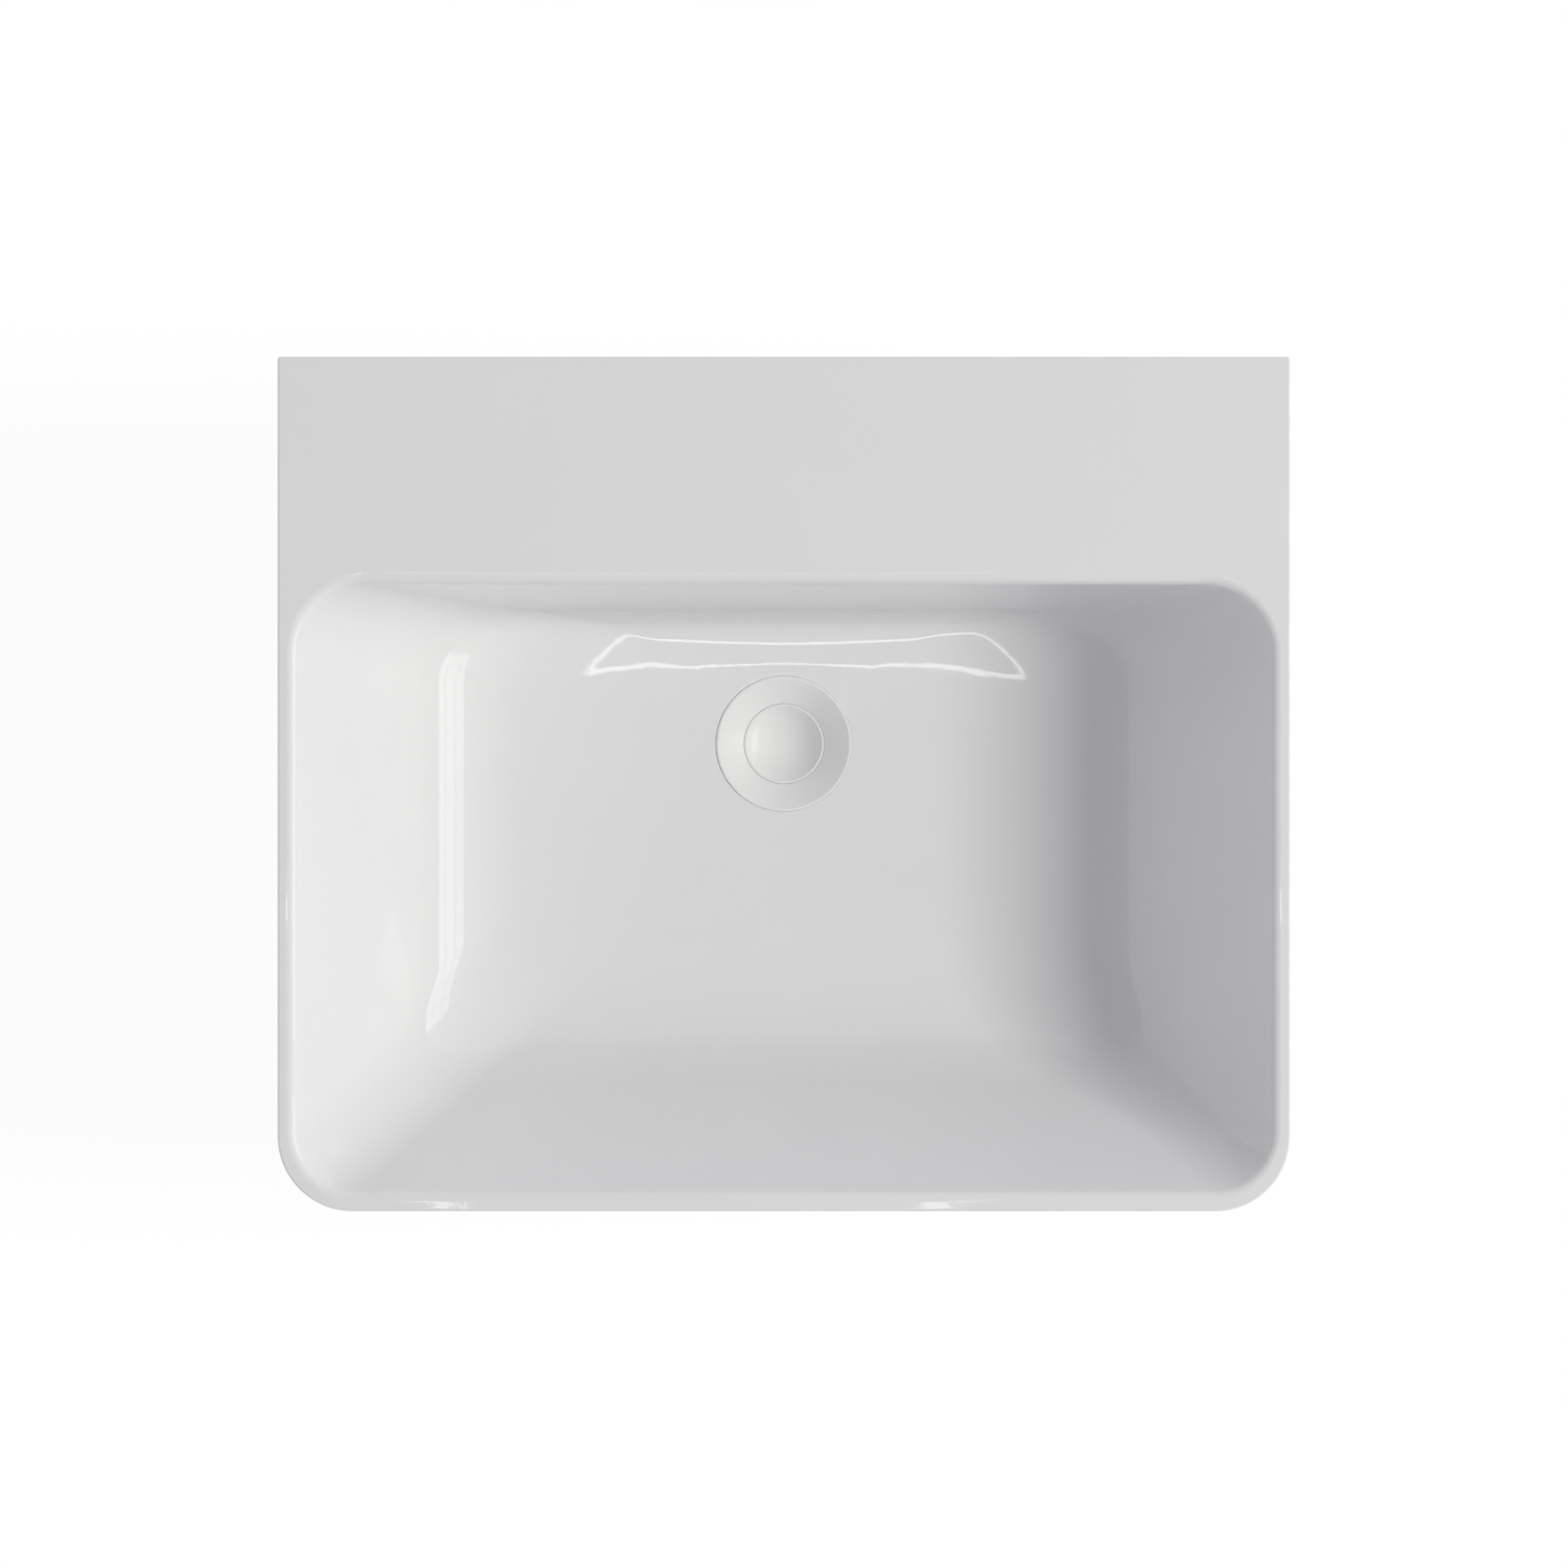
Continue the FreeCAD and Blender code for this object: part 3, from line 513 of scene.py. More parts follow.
def about_axis(tree, vector, centre):
    """The parts of a place seen from an upright axis, and its level vector away from that axis."""
    away = result(tree, "ShaderNodeVectorMath", {0: vector, 1: centre}, operation="SUBTRACT")
    parts = place(tree, "ShaderNodeSeparateXYZ", {0: away})
    return parts, result(tree, "ShaderNodeCombineXYZ", {"X": parts["X"], "Y": parts["Y"]})


# Shader groups that several finishes share

def unevenness(name):
    """Colour, roughness and height that wander a little over a surface."""
    inputs = {
        "Vector": "Vector", "Scale": "Float", "Color": "Color", "Spread": "Float",
        "Roughness": "Float", "Roughness Spread": "Float",
    }
    outputs = {"Color": "Color", "Roughness": "Float", "Height": "Float"}
    group, given, out = new_group(name, "ShaderNodeTree", inputs, outputs)
    noise = result(group, "ShaderNodeTexNoise", {
        "Vector": given["Vector"], "Scale": given["Scale"], "Detail": 3.0, "Roughness": 0.55,
    })
    wander = maths(group, "SUBTRACT", noise, 0.5)
    shade = maths(group, "MULTIPLY_ADD", wander, given["Spread"], 1.0)
    colour = result(group, "ShaderNodeVectorMath", {0: given["Color"], "Scale": shade}, operation="SCALE")
    rough = maths(group, "MULTIPLY_ADD", wander, given["Roughness Spread"], given["Roughness"])
    feed(group, out, {"Color": colour, "Roughness": rough, "Height": noise})
    return group


def turning_marks(name):
    """Fine rings that a lathe leaves round the outlet's axis, as a mask and a height."""
    inputs = {"Vector": "Vector", "Pitch": "Float"}
    group, given, out = new_group(name, "ShaderNodeTree", inputs, {"Mask": "Float", "Height": "Float"})
    parts, level_part = about_axis(group, given["Vector"], AXIS)
    radius = place(group, "ShaderNodeVectorMath", {0: level_part}, operation="LENGTH")["Value"]
    steps = maths(group, "DIVIDE", maths(group, "ADD", radius, parts["Z"]), given["Pitch"])
    marks = {"W": steps, "Scale": 1.0, "Detail": 2.0}
    noise = result(group, "ShaderNodeTexNoise", marks, noise_dimensions="1D")
    feed(group, out, {"Mask": noise, "Height": noise})
    return group


# Finishes

def new_finish(name):
    """A material with its node tree, its surface shader and the coordinates of the piece."""
    made = bpy.data.materials.new(name)
    made.use_nodes = True
    tree = made.node_tree
    return made, tree, tree.nodes["Principled BSDF"], place(tree, "ShaderNodeTexCoord")["Object"]


def paint(name):
    """The colour of a finish, as the user has set it."""
    return (*getattr(bpy.context.scene.basin_finishes, name), 1)


def uneven(tree, where, colour, scale, tones, roughness, dulling):
    """Places the group of fine unevenness: its patches change the tones and the roughness a little."""
    return place(tree, "ShaderNodeGroup", {
        "Vector": where, "Scale": scale, "Color": colour, "Spread": tones,
        "Roughness": roughness, "Roughness Spread": dulling,
    }, node_tree=shared_group("Fine unevenness", unevenness))


def speckle(tree, where, scale, detail):
    """Fine noise over a surface."""
    return result(tree, "ShaderNodeTexNoise", {"Vector": where, "Scale": scale, "Detail": detail})


def relief(tree, height, depth):
    """The normals of a fine relief."""
    return result(tree, "ShaderNodeBump", {"Height": height, "Strength": 1.0, "Distance": depth})


def glaze(name):
    """Fired white glaze: a clear bright skin, faintly rippled, and a little thinner on the rim's rounds,
    where its lighter colour is also a painted highlight. Inputs 6 and 7 and output 2 of a Mix node are its
    colours."""
    made, tree, surface, where = new_finish(name)
    edge = place(tree, "ShaderNodeAttribute", attribute_name="edge")["Fac"]
    # The rim's rounds take the thin glaze colour, which is partly a painted highlight
    colours = {0: edge, 6: paint("glaze"), 7: paint("thin_glaze_and_highlight")}
    colour = place(tree, "ShaderNodeMix", colours, data_type="RGBA")[2]
    skin = uneven(tree, where, colour, scale=16.0, tones=0.03, roughness=0.03, dulling=0.015)
    ripple = speckle(tree, where, scale=520.0, detail=1.0)
    height = maths(tree, "MULTIPLY_ADD", ripple, RIPPLE_SHARE, skin["Height"])
    normal = relief(tree, height, depth=0.12 * MM)
    feed(tree, surface, {"Base Color": skin["Color"], "Roughness": skin["Roughness"], "Normal": normal})
    return made


def grained(name, patches, grain, depth):
    """A finish with soft patches of tone and roughness under a fine grain."""
    made, tree, surface, where = new_finish(name)
    skin = uneven(tree, where, **patches)
    normal = relief(tree, speckle(tree, where, **grain), depth)
    feed(tree, surface, {"Base Color": skin["Color"], "Roughness": skin["Roughness"], "Normal": normal})
    return made


def white_coat(name):
    """Gloss white coat with a trace of orange peel."""
    patches = dict(colour=paint("coat"), scale=45.0, tones=0.025, roughness=0.11, dulling=0.05)
    return grained(name, patches, dict(scale=900.0, detail=1.0), 0.01 * MM)


def rubber(name):
    """Moulded rubber: dull, with a grey bloom in patches."""
    patches = dict(colour=paint("rubber"), scale=130.0, tones=0.5, roughness=0.62, dulling=0.2)
    return grained(name, patches, dict(scale=3200.0, detail=2.0), 0.08 * MM)


def acetal(name):
    """Moulded natural plastic, half matt and slightly milky."""
    patches = dict(colour=paint("acetal"), scale=150.0, tones=0.05, roughness=0.38, dulling=0.12)
    made = grained(name, patches, dict(scale=2400.0, detail=2.0), 0.03 * MM)
    milk = {"Subsurface Weight": 0.15, "Subsurface Radius": (1.0 * MM, 0.9 * MM, 0.7 * MM)}
    feed(made.node_tree, made.node_tree.nodes["Principled BSDF"], milk)
    return made


def metal(name, colour, roughness, pitch, depth):
    """A metal finish with the rings of the lathe in it."""
    made, tree, surface, where = new_finish(name)
    marks = place(tree, "ShaderNodeGroup", {
        "Vector": where, "Pitch": pitch,
    }, node_tree=shared_group("Turning marks", turning_marks))
    dulling = roughness * METAL_PATCHES
    skin = uneven(tree, where, colour, scale=90.0, tones=0.10, roughness=roughness, dulling=dulling)
    rough = maths(tree, "MULTIPLY_ADD", marks["Mask"], roughness * METAL_MARKS, skin["Roughness"])
    feed(tree, surface, {
        "Metallic": 1.0, "Base Color": skin["Color"], "Roughness": rough,
        "Normal": relief(tree, marks["Height"], depth),
    })
    return made


def chrome(name):
    return metal(name, paint("chrome"), roughness=0.06, pitch=0.35 * MM, depth=0.006 * MM)


def brass(name):
    return metal(name, paint("brass"), roughness=0.22, pitch=0.22 * MM, depth=0.03 * MM)


def steel(name):
    return metal(name, paint("steel"), roughness=0.24, pitch=0.15 * MM, depth=0.01 * MM)


FINISHES = {
    "Fired glaze": glaze,
    "Gloss white coat": white_coat,
    "Bright chrome": chrome,
    "Turned brass": brass,
    "Drawn steel": steel,
    "Moulded rubber": rubber,
    "Moulded acetal": acetal,
}


def finish(name):
    """The material of a finish, made the first time that it is asked for."""
    return bpy.data.materials.get(name) or FINISHES[name](name)


# Outlines of the casting. Half an outline runs from the middle of the back, round the right side, to the
# middle of the front. It is made of stretches: a count of steps, and the place at a share of the stretch.

def line(steps, start, end):
    """A straight stretch, with its outward normal."""
    run = Vector(end) - Vector(start)
    normal = Vector((-run.y, run.x)).normalized()
    return steps, lambda share: (Vector(start) + run * share, normal)


def corner(steps, centre, radius, start):
    """A quarter turn to the right, with its outward normals."""
    def at(share):
        turn = start - share * math.pi / 2
        normal = Vector((math.cos(turn), math.sin(turn)))
        return Vector(centre) + normal * radius, normal
    return steps, at


def walk(stretches):
    """Places along half an outline, with their outward normals."""
    places = [at(step / steps) for steps, at in stretches for step in range(steps)]
    return places + [stretches[-1][1](1)]


def bowl_stretches(outline):
    """The stretches of a section of the bowl: a rectangle with two sizes of rounded corner."""
    half, back, front, r_back, r_front = outline
    return [
        line(BACK_STEPS, (0, back), (half - r_back, back)),
        corner(CORNER_STEPS, (half - r_back, back - r_back), r_back, math.pi / 2),
        line(SIDE_STEPS, (half, back - r_back), (half, front + r_front)),
        corner(CORNER_STEPS, (half - r_front, front + r_front), r_front, 0),
        line(BACK_STEPS, (half - r_front, front), (0, front)),
    ]


def apron_stretches(sizes, inset, back_inset, r_rear):
    """The stretches of the apron's outline, or of one inside it: nearly square at the wall."""
    half = sizes.width / 2 - inset
    front = -sizes.depth + inset
    r_front = sizes.outer_corner - inset
    beside_x = sizes.width / 2 - sizes.side_rim - sizes.back_corner
    beside_y = -sizes.deck - sizes.back_corner
    return [
        line(BACK_STEPS, (0, -back_inset), (beside_x, -back_inset)),
        line(REAR_BACK_STEPS, (beside_x, -back_inset), (half - r_rear, -back_inset)),
        corner(REAR_ROUND_STEPS, (half - r_rear, -back_inset - r_rear), r_rear, math.pi / 2),
        line(REAR_SIDE_STEPS, (half, -back_inset - r_rear), (half, beside_y)),
        line(SIDE_STEPS, (half, beside_y), (half, front + r_front)),
        corner(CORNER_STEPS, (half - r_front, front + r_front), r_front, 0),
        line(BACK_STEPS, (half - r_front, front), (0, front)),
    ]


def level(places, height):
    """A level half ring through the places of an outline."""
    return [Vector((point.x, point.y, height)) for point, _ in places]


def apron_ring(sizes, inset, height):
    """Half a ring of the apron's outside at a height."""
    r_rear = max(REAR_CORNER_R - inset, LEAST_CORNER_R)
    return level(walk(apron_stretches(sizes, inset, inset, r_rear)), height)


def inner_places(sizes, outset):
    """Places round the inside of the apron, or a little into its wall."""
    inset = sizes.apron_wall - outset
    return walk(apron_stretches(sizes, inset, sizes.back_wall - outset, CAST_ROUND + outset))


def whole_ring(half_ring):
    """A ring from its right half: the left half is its mirror image."""
    mirrored = [Vector((-point.x, point.y, point.z)) for point in half_ring[-2:0:-1]]
    return half_ring + mirrored


# Form of the bowl

def wall_run(depth, tilt, foot_r, floor_depth):
    """How far a bowl wall has come in from its rim at a depth: a straight slope, then its foot curve."""
    slope_end = floor_depth - foot_r * (1 - math.cos(tilt))
    if depth <= slope_end:
        return depth / math.tan(tilt)
    foot_end = slope_end / math.tan(tilt) + foot_r * math.sin(tilt)
    below_centre = depth - (floor_depth - foot_r)
    return foot_end - math.sqrt(max(foot_r ** 2 - below_centre ** 2, 0))


def bowl_outline(sizes, depth, skin):
    """A section of the bowl at a depth: half width, back, front and corner rounds of its inside face, or of
    a face one skin further out."""
    side = wall_run(depth, sizes.wall_tilt, sizes.wall_foot + skin, sizes.bowl_depth + skin)
    outlet_depth = sizes.bowl_depth + sizes.floor_fall + skin
    back = wall_run(depth, sizes.back_tilt, sizes.back_foot + skin, outlet_depth)
    wall_skin = skin / math.sin(sizes.wall_tilt)
    back_skin = skin / math.sin(sizes.back_tilt)
    share = depth / (sizes.bowl_depth + skin)
    return (
        sizes.width / 2 - sizes.side_rim + wall_skin - side,
        -sizes.deck + back_skin - back,
        -sizes.depth + sizes.front_rim - wall_skin + side,
        sizes.back_corner + skin + (sizes.foot_corner - sizes.back_corner) * share,
        sizes.front_corner + skin + (sizes.foot_corner - sizes.front_corner) * share,
    )


def foot_depth(sizes, angle, skin):
    """Depth where the foot curve of the side and front walls has a slope."""
    return sizes.bowl_depth + skin - (sizes.wall_foot + skin) * (1 - math.cos(angle))


def eased(start, end, leave, arrive, share):
    """A cubic from start to end as a share goes from 0 to 1, leaving and arriving at the given rates."""
    rest = 1 - share
    return (
        start * (1 + 2 * share) * rest ** 2 + end * (3 - 2 * share) * share ** 2
        + leave * share * rest ** 2 - arrive * rest * share ** 2
    )


def recess_r():
    """Radius of the recess for the flange."""
    waste = bpy.context.scene.basin_waste
    return waste.flange + waste.flange_gap


def floor_rings(sizes, shares, skin):
    """Half rings of the floor, at shares of the way from the end of the foot curves to the outlet. Each place
    leaves in line with its wall and comes to the outlet in a gentle fall, level behind the outlet."""
    edge_depth = foot_depth(sizes, LAST_FOOT_SLOPE, skin)
    outlet_depth = sizes.bowl_depth + sizes.floor_fall + skin
    outlet_r = recess_r() + sizes.outlet_margin + skin
    outline = bowl_outline(sizes, edge_depth, skin)
    outline_above = bowl_outline(sizes, edge_depth - SLOPE_STEP, skin)
    fall_rate = (outlet_r - outline[0]) / (outline[0] - outline_above[0]) * SLOPE_STEP
    starts = [point for point, _ in walk(bowl_stretches(outline))]
    above = [point for point, _ in walk(bowl_stretches(outline_above))]
    turns = half_turn()
    ends = [AXIS.xy + Vector((math.cos(turn), math.sin(turn))) * outlet_r for turn in turns]
    rings = []
    for share in shares:
        ring = []
        for first, before, last, turn in zip(starts, above, ends, turns):
            run = last - first
            at = eased(first, last, (first - before) / SLOPE_STEP * fall_rate, run, share)
            towards_front = (1 - math.sin(turn)) / 2
            arrive = run.length * math.tan(sizes.outlet_slope * towards_front)
            depth = eased(edge_depth, outlet_depth, fall_rate, arrive, share)
            ring.append(Vector((*at, sizes.rim - depth)))
        rings.append(ring)
    return rings


def bowl_ring(sizes, depth, skin):
    """Half a level ring of the bowl's wall at a depth."""
    return level(walk(bowl_stretches(bowl_outline(sizes, depth, skin))), sizes.rim - depth)


def bowl_rings(sizes):
    """The bowl's inside face, from the outlet out over the floor and up the walls to the rim's roll."""
    rings = floor_rings(sizes, spread(1, 0, FLOOR_RINGS)[:-1], 0)
    angles = spread(LAST_FOOT_SLOPE, sizes.wall_tilt, FOOT_RINGS)
    depths = [foot_depth(sizes, angle, 0) for angle in angles]
    depths += spread(depths[-1], sizes.rim_roll * WALL_TOP, WALL_RINGS)[1:]
    return rings + [bowl_ring(sizes, depth, 0) for depth in depths]


def reach(outline, normal):
    """How far a section of the bowl reaches in a level direction."""
    half, back, front, r_back, r_front = outline
    if normal.y > 0:
        return normal.x * (half - r_back) + normal.y * (back - r_back) + r_back
    return normal.x * (half - r_front) + normal.y * (front + r_front) + r_front


def rim_rings(sizes):
    """The rolled rim: at each place an arc from the slope of the wall over to the flat top, then a ring on
    the flat close beside it."""
    top = bowl_outline(sizes, 0, 0)
    below = bowl_outline(sizes, SLOPE_STEP, 0)
    rings = [[] for _ in range(ROLL_RINGS + 2)]
    for point, normal in walk(bowl_stretches(top)):
        tilt = math.atan2(SLOPE_STEP, reach(top, normal) - reach(below, normal))
        crest = point + normal * sizes.rim_roll * math.tan(tilt / 2)
        for ring, lean in zip(rings, spread(tilt, 0, ROLL_RINGS)):
            at = crest - normal * sizes.rim_roll * math.sin(lean)
            ring.append(Vector((*at, sizes.rim - sizes.rim_roll * (1 - math.cos(lean)))))
        rings[-1].append(Vector((*(crest + normal * EDGE_SUPPORT), sizes.rim)))
    return rings


def deck_rings(sizes, inner):
    """The flat deck and rim, from a ring beside the bowl out to the outer edge."""
    outer = apron_ring(sizes, sizes.outer_edge + EDGE_SUPPORT, sizes.rim)
    rings = []
    for share in spread(0, 1, DECK_RINGS)[1:]:
        rings.append([a.lerp(b, share) for a, b in zip(inner, outer)])
    for drop, inset in quarter_round(sizes.outer_edge, EDGE_RINGS):
        rings.append(apron_ring(sizes, inset, sizes.rim - drop))
    return rings


def apron_rings(sizes):
    """The apron's outside, down to the small round over its ground foot."""
    top = sizes.rim - sizes.outer_edge - EDGE_SUPPORT
    rings = [apron_ring(sizes, 0, height) for height in spread(top, GROUND_EDGE_R, APRON_RINGS)]
    for inset, height in quarter_round(GROUND_EDGE_R, ROUND_STEPS)[1:]:
        rings.append(apron_ring(sizes, inset, height))
    return rings


def foot_inner_rings(sizes):
    """The round from the ground foot into the hollow."""
    edge = reversed(quarter_round(GROUND_EDGE_R, ROUND_STEPS))
    return [level(inner_places(sizes, outset), height) for outset, height in edge]


def ceiling_height(sizes, y):
    """The hollow's ceiling: high under the deck, and stepping down to the groove beside the bowl."""
    wall_skin = sizes.bowl_wall / math.sin(sizes.wall_tilt)
    reach_in = sizes.groove + sizes.apron_wall + wall_skin - sizes.side_rim
    under_deck = sizes.rim - sizes.deck_thickness
    in_groove = sizes.rim - reach_in * math.tan(sizes.wall_tilt)
    share = min(max((-sizes.deck + STEP_EASE / 2 - y) / STEP_EASE, 0), 1)
    return under_deck + (in_groove - under_deck) * share * share * (3 - 2 * share)


def curve_through(start, control, end):
    """Points of a soft corner between two places, turned at a control point."""
    return [
        start.lerp(control, share).lerp(control.lerp(end, share), share)
        for share in spread(0, 1, ROUND_STEPS)
    ]


def skin_place(sizes, index, depth):
    """One place on the outside of the bowl at a depth."""
    return bowl_ring(sizes, depth, sizes.bowl_wall)[index]


def hollow_line(sizes, index, wall_place):
    """From the foot of the apron's inside up to the ceiling, across it and down the outside of the bowl to
    the end of its straight slope, at one place of the outline."""
    ceiling = ceiling_height(sizes, wall_place.y)
    upper = Vector((wall_place.x, wall_place.y, ceiling))
    meeting = skin_place(sizes, index, sizes.rim - ceiling)
    across = meeting - upper
    soft = min(CAST_ROUND, across.length * ROUND_SHARE)
    after = skin_place(sizes, index, sizes.rim - ceiling + soft)
    first = curve_through(upper - Vector((0, 0, soft)), upper, upper + across.normalized() * soft)
    second = curve_through(meeting - across.normalized() * soft, meeting, after)
    middle = [first[-1].lerp(second[0], share) for share in spread(0, 1, CEILING_RINGS)[1:-1]]
    slope_end = foot_depth(sizes, sizes.wall_tilt, sizes.bowl_wall)
    depths = spread(sizes.rim - after.z, slope_end, UNDER_WALL_RINGS)[1:]
    return first + middle + second + [skin_place(sizes, index, depth) for depth in depths]


def underside_rings(sizes):
    """The hollow behind the apron and the outside of the bowl, down to the flare of the outlet's boss."""
    places = enumerate(inner_places(sizes, 0))
    lines = [hollow_line(sizes, index, point) for index, (point, _) in places]
    rings = [list(ring) for ring in zip(*lines)]
    for angle in spread(sizes.wall_tilt, LAST_FOOT_SLOPE, UNDER_FOOT_RINGS)[1:]:
        rings.append(bowl_ring(sizes, foot_depth(sizes, angle, sizes.bowl_wall), sizes.bowl_wall))
    return rings + floor_rings(sizes, spread(0, 1, UNDER_FLOOR_RINGS)[1:], sizes.bowl_wall)


def flange_under(radius):
    """Height of the flange's conical underside at a radius."""
    waste = bpy.context.scene.basin_waste
    return FLANGE_HIGH.z - waste.flange_edge - (waste.flange - radius) * math.tan(waste.dish_slope)


def outlet_rings(sizes):
    """The boss under the outlet, its hole, the countersink for the flange and the soft edge at the floor."""
    waste = bpy.context.scene.basin_waste
    drop = waste.gasket / math.cos(waste.dish_slope)
    floor = FLANGE_HIGH.z - waste.flange_proud
    mouth = recess_r()
    hole = sizes.outlet_hole
    profile = rounded([
        (mouth + sizes.outlet_margin + sizes.bowl_wall, floor - sizes.bowl_wall, 0),
        (sizes.boss, floor - sizes.bowl_wall, sizes.boss_flare),
        (sizes.boss, BASIN_LOW.z, GROUND_EDGE_R),
        (hole, BASIN_LOW.z, GROUND_EDGE_R),
        (hole, flange_under(hole) - drop, GROUND_EDGE_R),
        (mouth, flange_under(mouth) - drop, SINK_EDGE_R),
        (mouth, floor, OUTLET_EDGE_R),
        (mouth + sizes.outlet_margin, floor, 0),
    ], closed=False)[1:-1]
    return [arc(point.x, point.y, half_turn()) for point in profile]


def mark_thin_glaze_and_highlight(mesh, sizes):
    """Marks the rim's rounds, where the glaze runs thin and a painted highlight is laid, as an attribute of
    the mesh.
    """
    marks = mesh.attributes.new("edge", "FLOAT", "POINT")
    for mark, vertex, normal in zip(marks.data, mesh.vertices, mesh.vertex_normals):
        on_round = vertex.co.z > sizes.rim - sizes.rim_roll and normal.vector.z > 0
        lean = math.hypot(normal.vector.x, normal.vector.y)
        # Fullest where the round leans halfway over, for both the thin glaze and the painted highlight
        mark.value = 2 * lean * normal.vector.z if on_round else 0


def wall_bar(name, side, profile, sizes):
    """A round bar along Y at one wall fixing, as a cutter or a boss."""
    rings = [arc(point.x, point.y, full_turn(BORE_SEGMENTS), Vector()) for point in profile]
    mesh = closed_mesh(name, rings, wraps=False)
    centre = Vector((side * sizes.wall_holes / 2, 0, sizes.rim - sizes.wall_hole_drop))
    mesh.transform(Matrix.Translation(centre) @ Matrix.Rotation(math.pi / 2, 4, "X"))
    return new_piece(name, mesh)


def bar_profile(radius, start, end, edge_r):
    """The section of a round bar between two heights, with a round at its end."""
    return rounded([(0, start, 0), (radius, start, 0), (radius, end, edge_r), (0, end, 0)], closed=False)


def wall_fixings(piece, sizes):
    """Adds the bosses at the wall fixings and drills their holes."""
    outer = sizes.back_wall + sizes.wall_boss_height
    boss = bar_profile(sizes.wall_boss, sizes.back_wall / 2, outer, GROUND_EDGE_R)
    bore = bar_profile(sizes.wall_hole, -sizes.back_wall, outer + sizes.back_wall, 0)
    tools = []
    for side in (-1, 1):
        for name, profile, operation in (("boss", boss, "UNION"), ("bore", bore, "DIFFERENCE")):
            tool = wall_bar(name, side, profile, sizes)
            modifier = piece.modifiers.new(name, "BOOLEAN")
            modifier.object = tool
            modifier.operation = operation
            modifier.solver = "EXACT"
            tools.append(tool)
    freeze(piece)
    for tool in tools:
        bpy.data.objects.remove(tool)


class BASIN_OT_casting(bpy.types.Operator):
    """Builds the glazed casting: deck, rolled rim, bowl, apron and outlet"""
    bl_idname = "basin.casting"
    bl_label = "Casting"

    def execute(self, context):
        sizes = context.scene.basin_casting
        rings = bowl_rings(sizes) + rim_rings(sizes)
        rings += deck_rings(sizes, rings[-1])
        rings += apron_rings(sizes) + foot_inner_rings(sizes)
        rings += underside_rings(sizes) + outlet_rings(sizes)
        mesh = closed_mesh("basin_casting", [whole_ring(ring) for ring in rings], wraps=True)
        mark_thin_glaze_and_highlight(mesh, sizes)
        piece = new_piece("basin_casting", mesh)
        wall_fixings(piece, sizes)
        dress(piece, "casting", "glaze", "basin", "Fired glaze")
        return {"FINISHED"}


# Threads of the waste

def thread_tree(name):
    """Cuts a thread into a turned piece where its attribute says, from the crest inwards."""
    inputs = {"Pitch": "Float", "Depth": "Float", "Centre": "Vector"}
    tree, given, out = new_shape_tree(name, inputs)
    here = result(tree, "GeometryNodeInputPosition")
    parts, level_part = about_axis(tree, here, given["Centre"])
    angle = maths(tree, "ARCTAN2", parts["Y"], parts["X"])
    turns = maths(tree, "DIVIDE", parts["Z"], given["Pitch"])
    phase = maths(tree, "FRACT", maths(tree, "SUBTRACT", turns, maths(tree, "DIVIDE", angle, math.tau)))
    groove = result(tree, "ShaderNodeMapRange", {
        "Value": maths(tree, "PINGPONG", phase, 0.5), "From Min": FLANK_START, "From Max": FLANK_END,
    }, interpolation_type="SMOOTHSTEP")
    weight = result(tree, "GeometryNodeInputNamedAttribute", {"Name": "thread"}, data_type="FLOAT")
    depth = maths(tree, "MULTIPLY", groove, maths(tree, "MULTIPLY", given["Depth"], weight))
    inward = maths(tree, "MULTIPLY", depth, -1.0)
    outward = result(tree, "ShaderNodeVectorMath", {0: level_part}, operation="NORMALIZE")
    move = result(tree, "ShaderNodeVectorMath", {0: outward, "Scale": inward}, operation="SCALE")
    cut = result(tree, "GeometryNodeSetPosition", {"Geometry": given["Geometry"], "Offset": move})
    end_shape_tree(tree, given, out, cut)
    return tree


def mark_thread(mesh, low, high, least_r):
    """Marks where a turned piece has a thread: between two heights, fading out over a turn at the top."""
    pitch = bpy.context.scene.basin_waste.pitch
    marks = mesh.attributes.new("thread", "FLOAT", "POINT")
    for mark, vertex in zip(marks.data, mesh.vertices):
        radius = math.hypot(vertex.co.x, vertex.co.y - AXIS.y)
        fade = min(max((high - vertex.co.z) / pitch, 0), 1)
        mark.value = fade if radius > least_r and vertex.co.z > low else 0


def cut_thread(piece, low, high, least_r, finish_name):
    """Cuts the pipe thread into the outside of a turned piece between two heights."""
    waste = bpy.context.scene.basin_waste
    mark_thread(piece.data, low, high, least_r)
    run_tree(piece, shared_group("Thread relief", thread_tree), {
        "Pitch": waste.pitch, "Depth": waste.thread_depth, "Centre": AXIS, "Material": finish(finish_name),
    })


def with_thread_rings(profile, radius):
    """A profile with points added down the straight stretch that carries the thread."""
    points = []
    for point, after in zip(profile, profile[1:] + profile[:1]):
        points.append(point)
        upright = abs(point.x - radius) < POLE and abs(after.x - radius) < POLE
        if upright and abs(after.y - point.y) > THREAD_RING_GAP:
            count = math.ceil(abs(after.y - point.y) / THREAD_RING_GAP)
            points += [point.lerp(after, step / count) for step in range(1, count)]
    return points


# Upper part of the waste

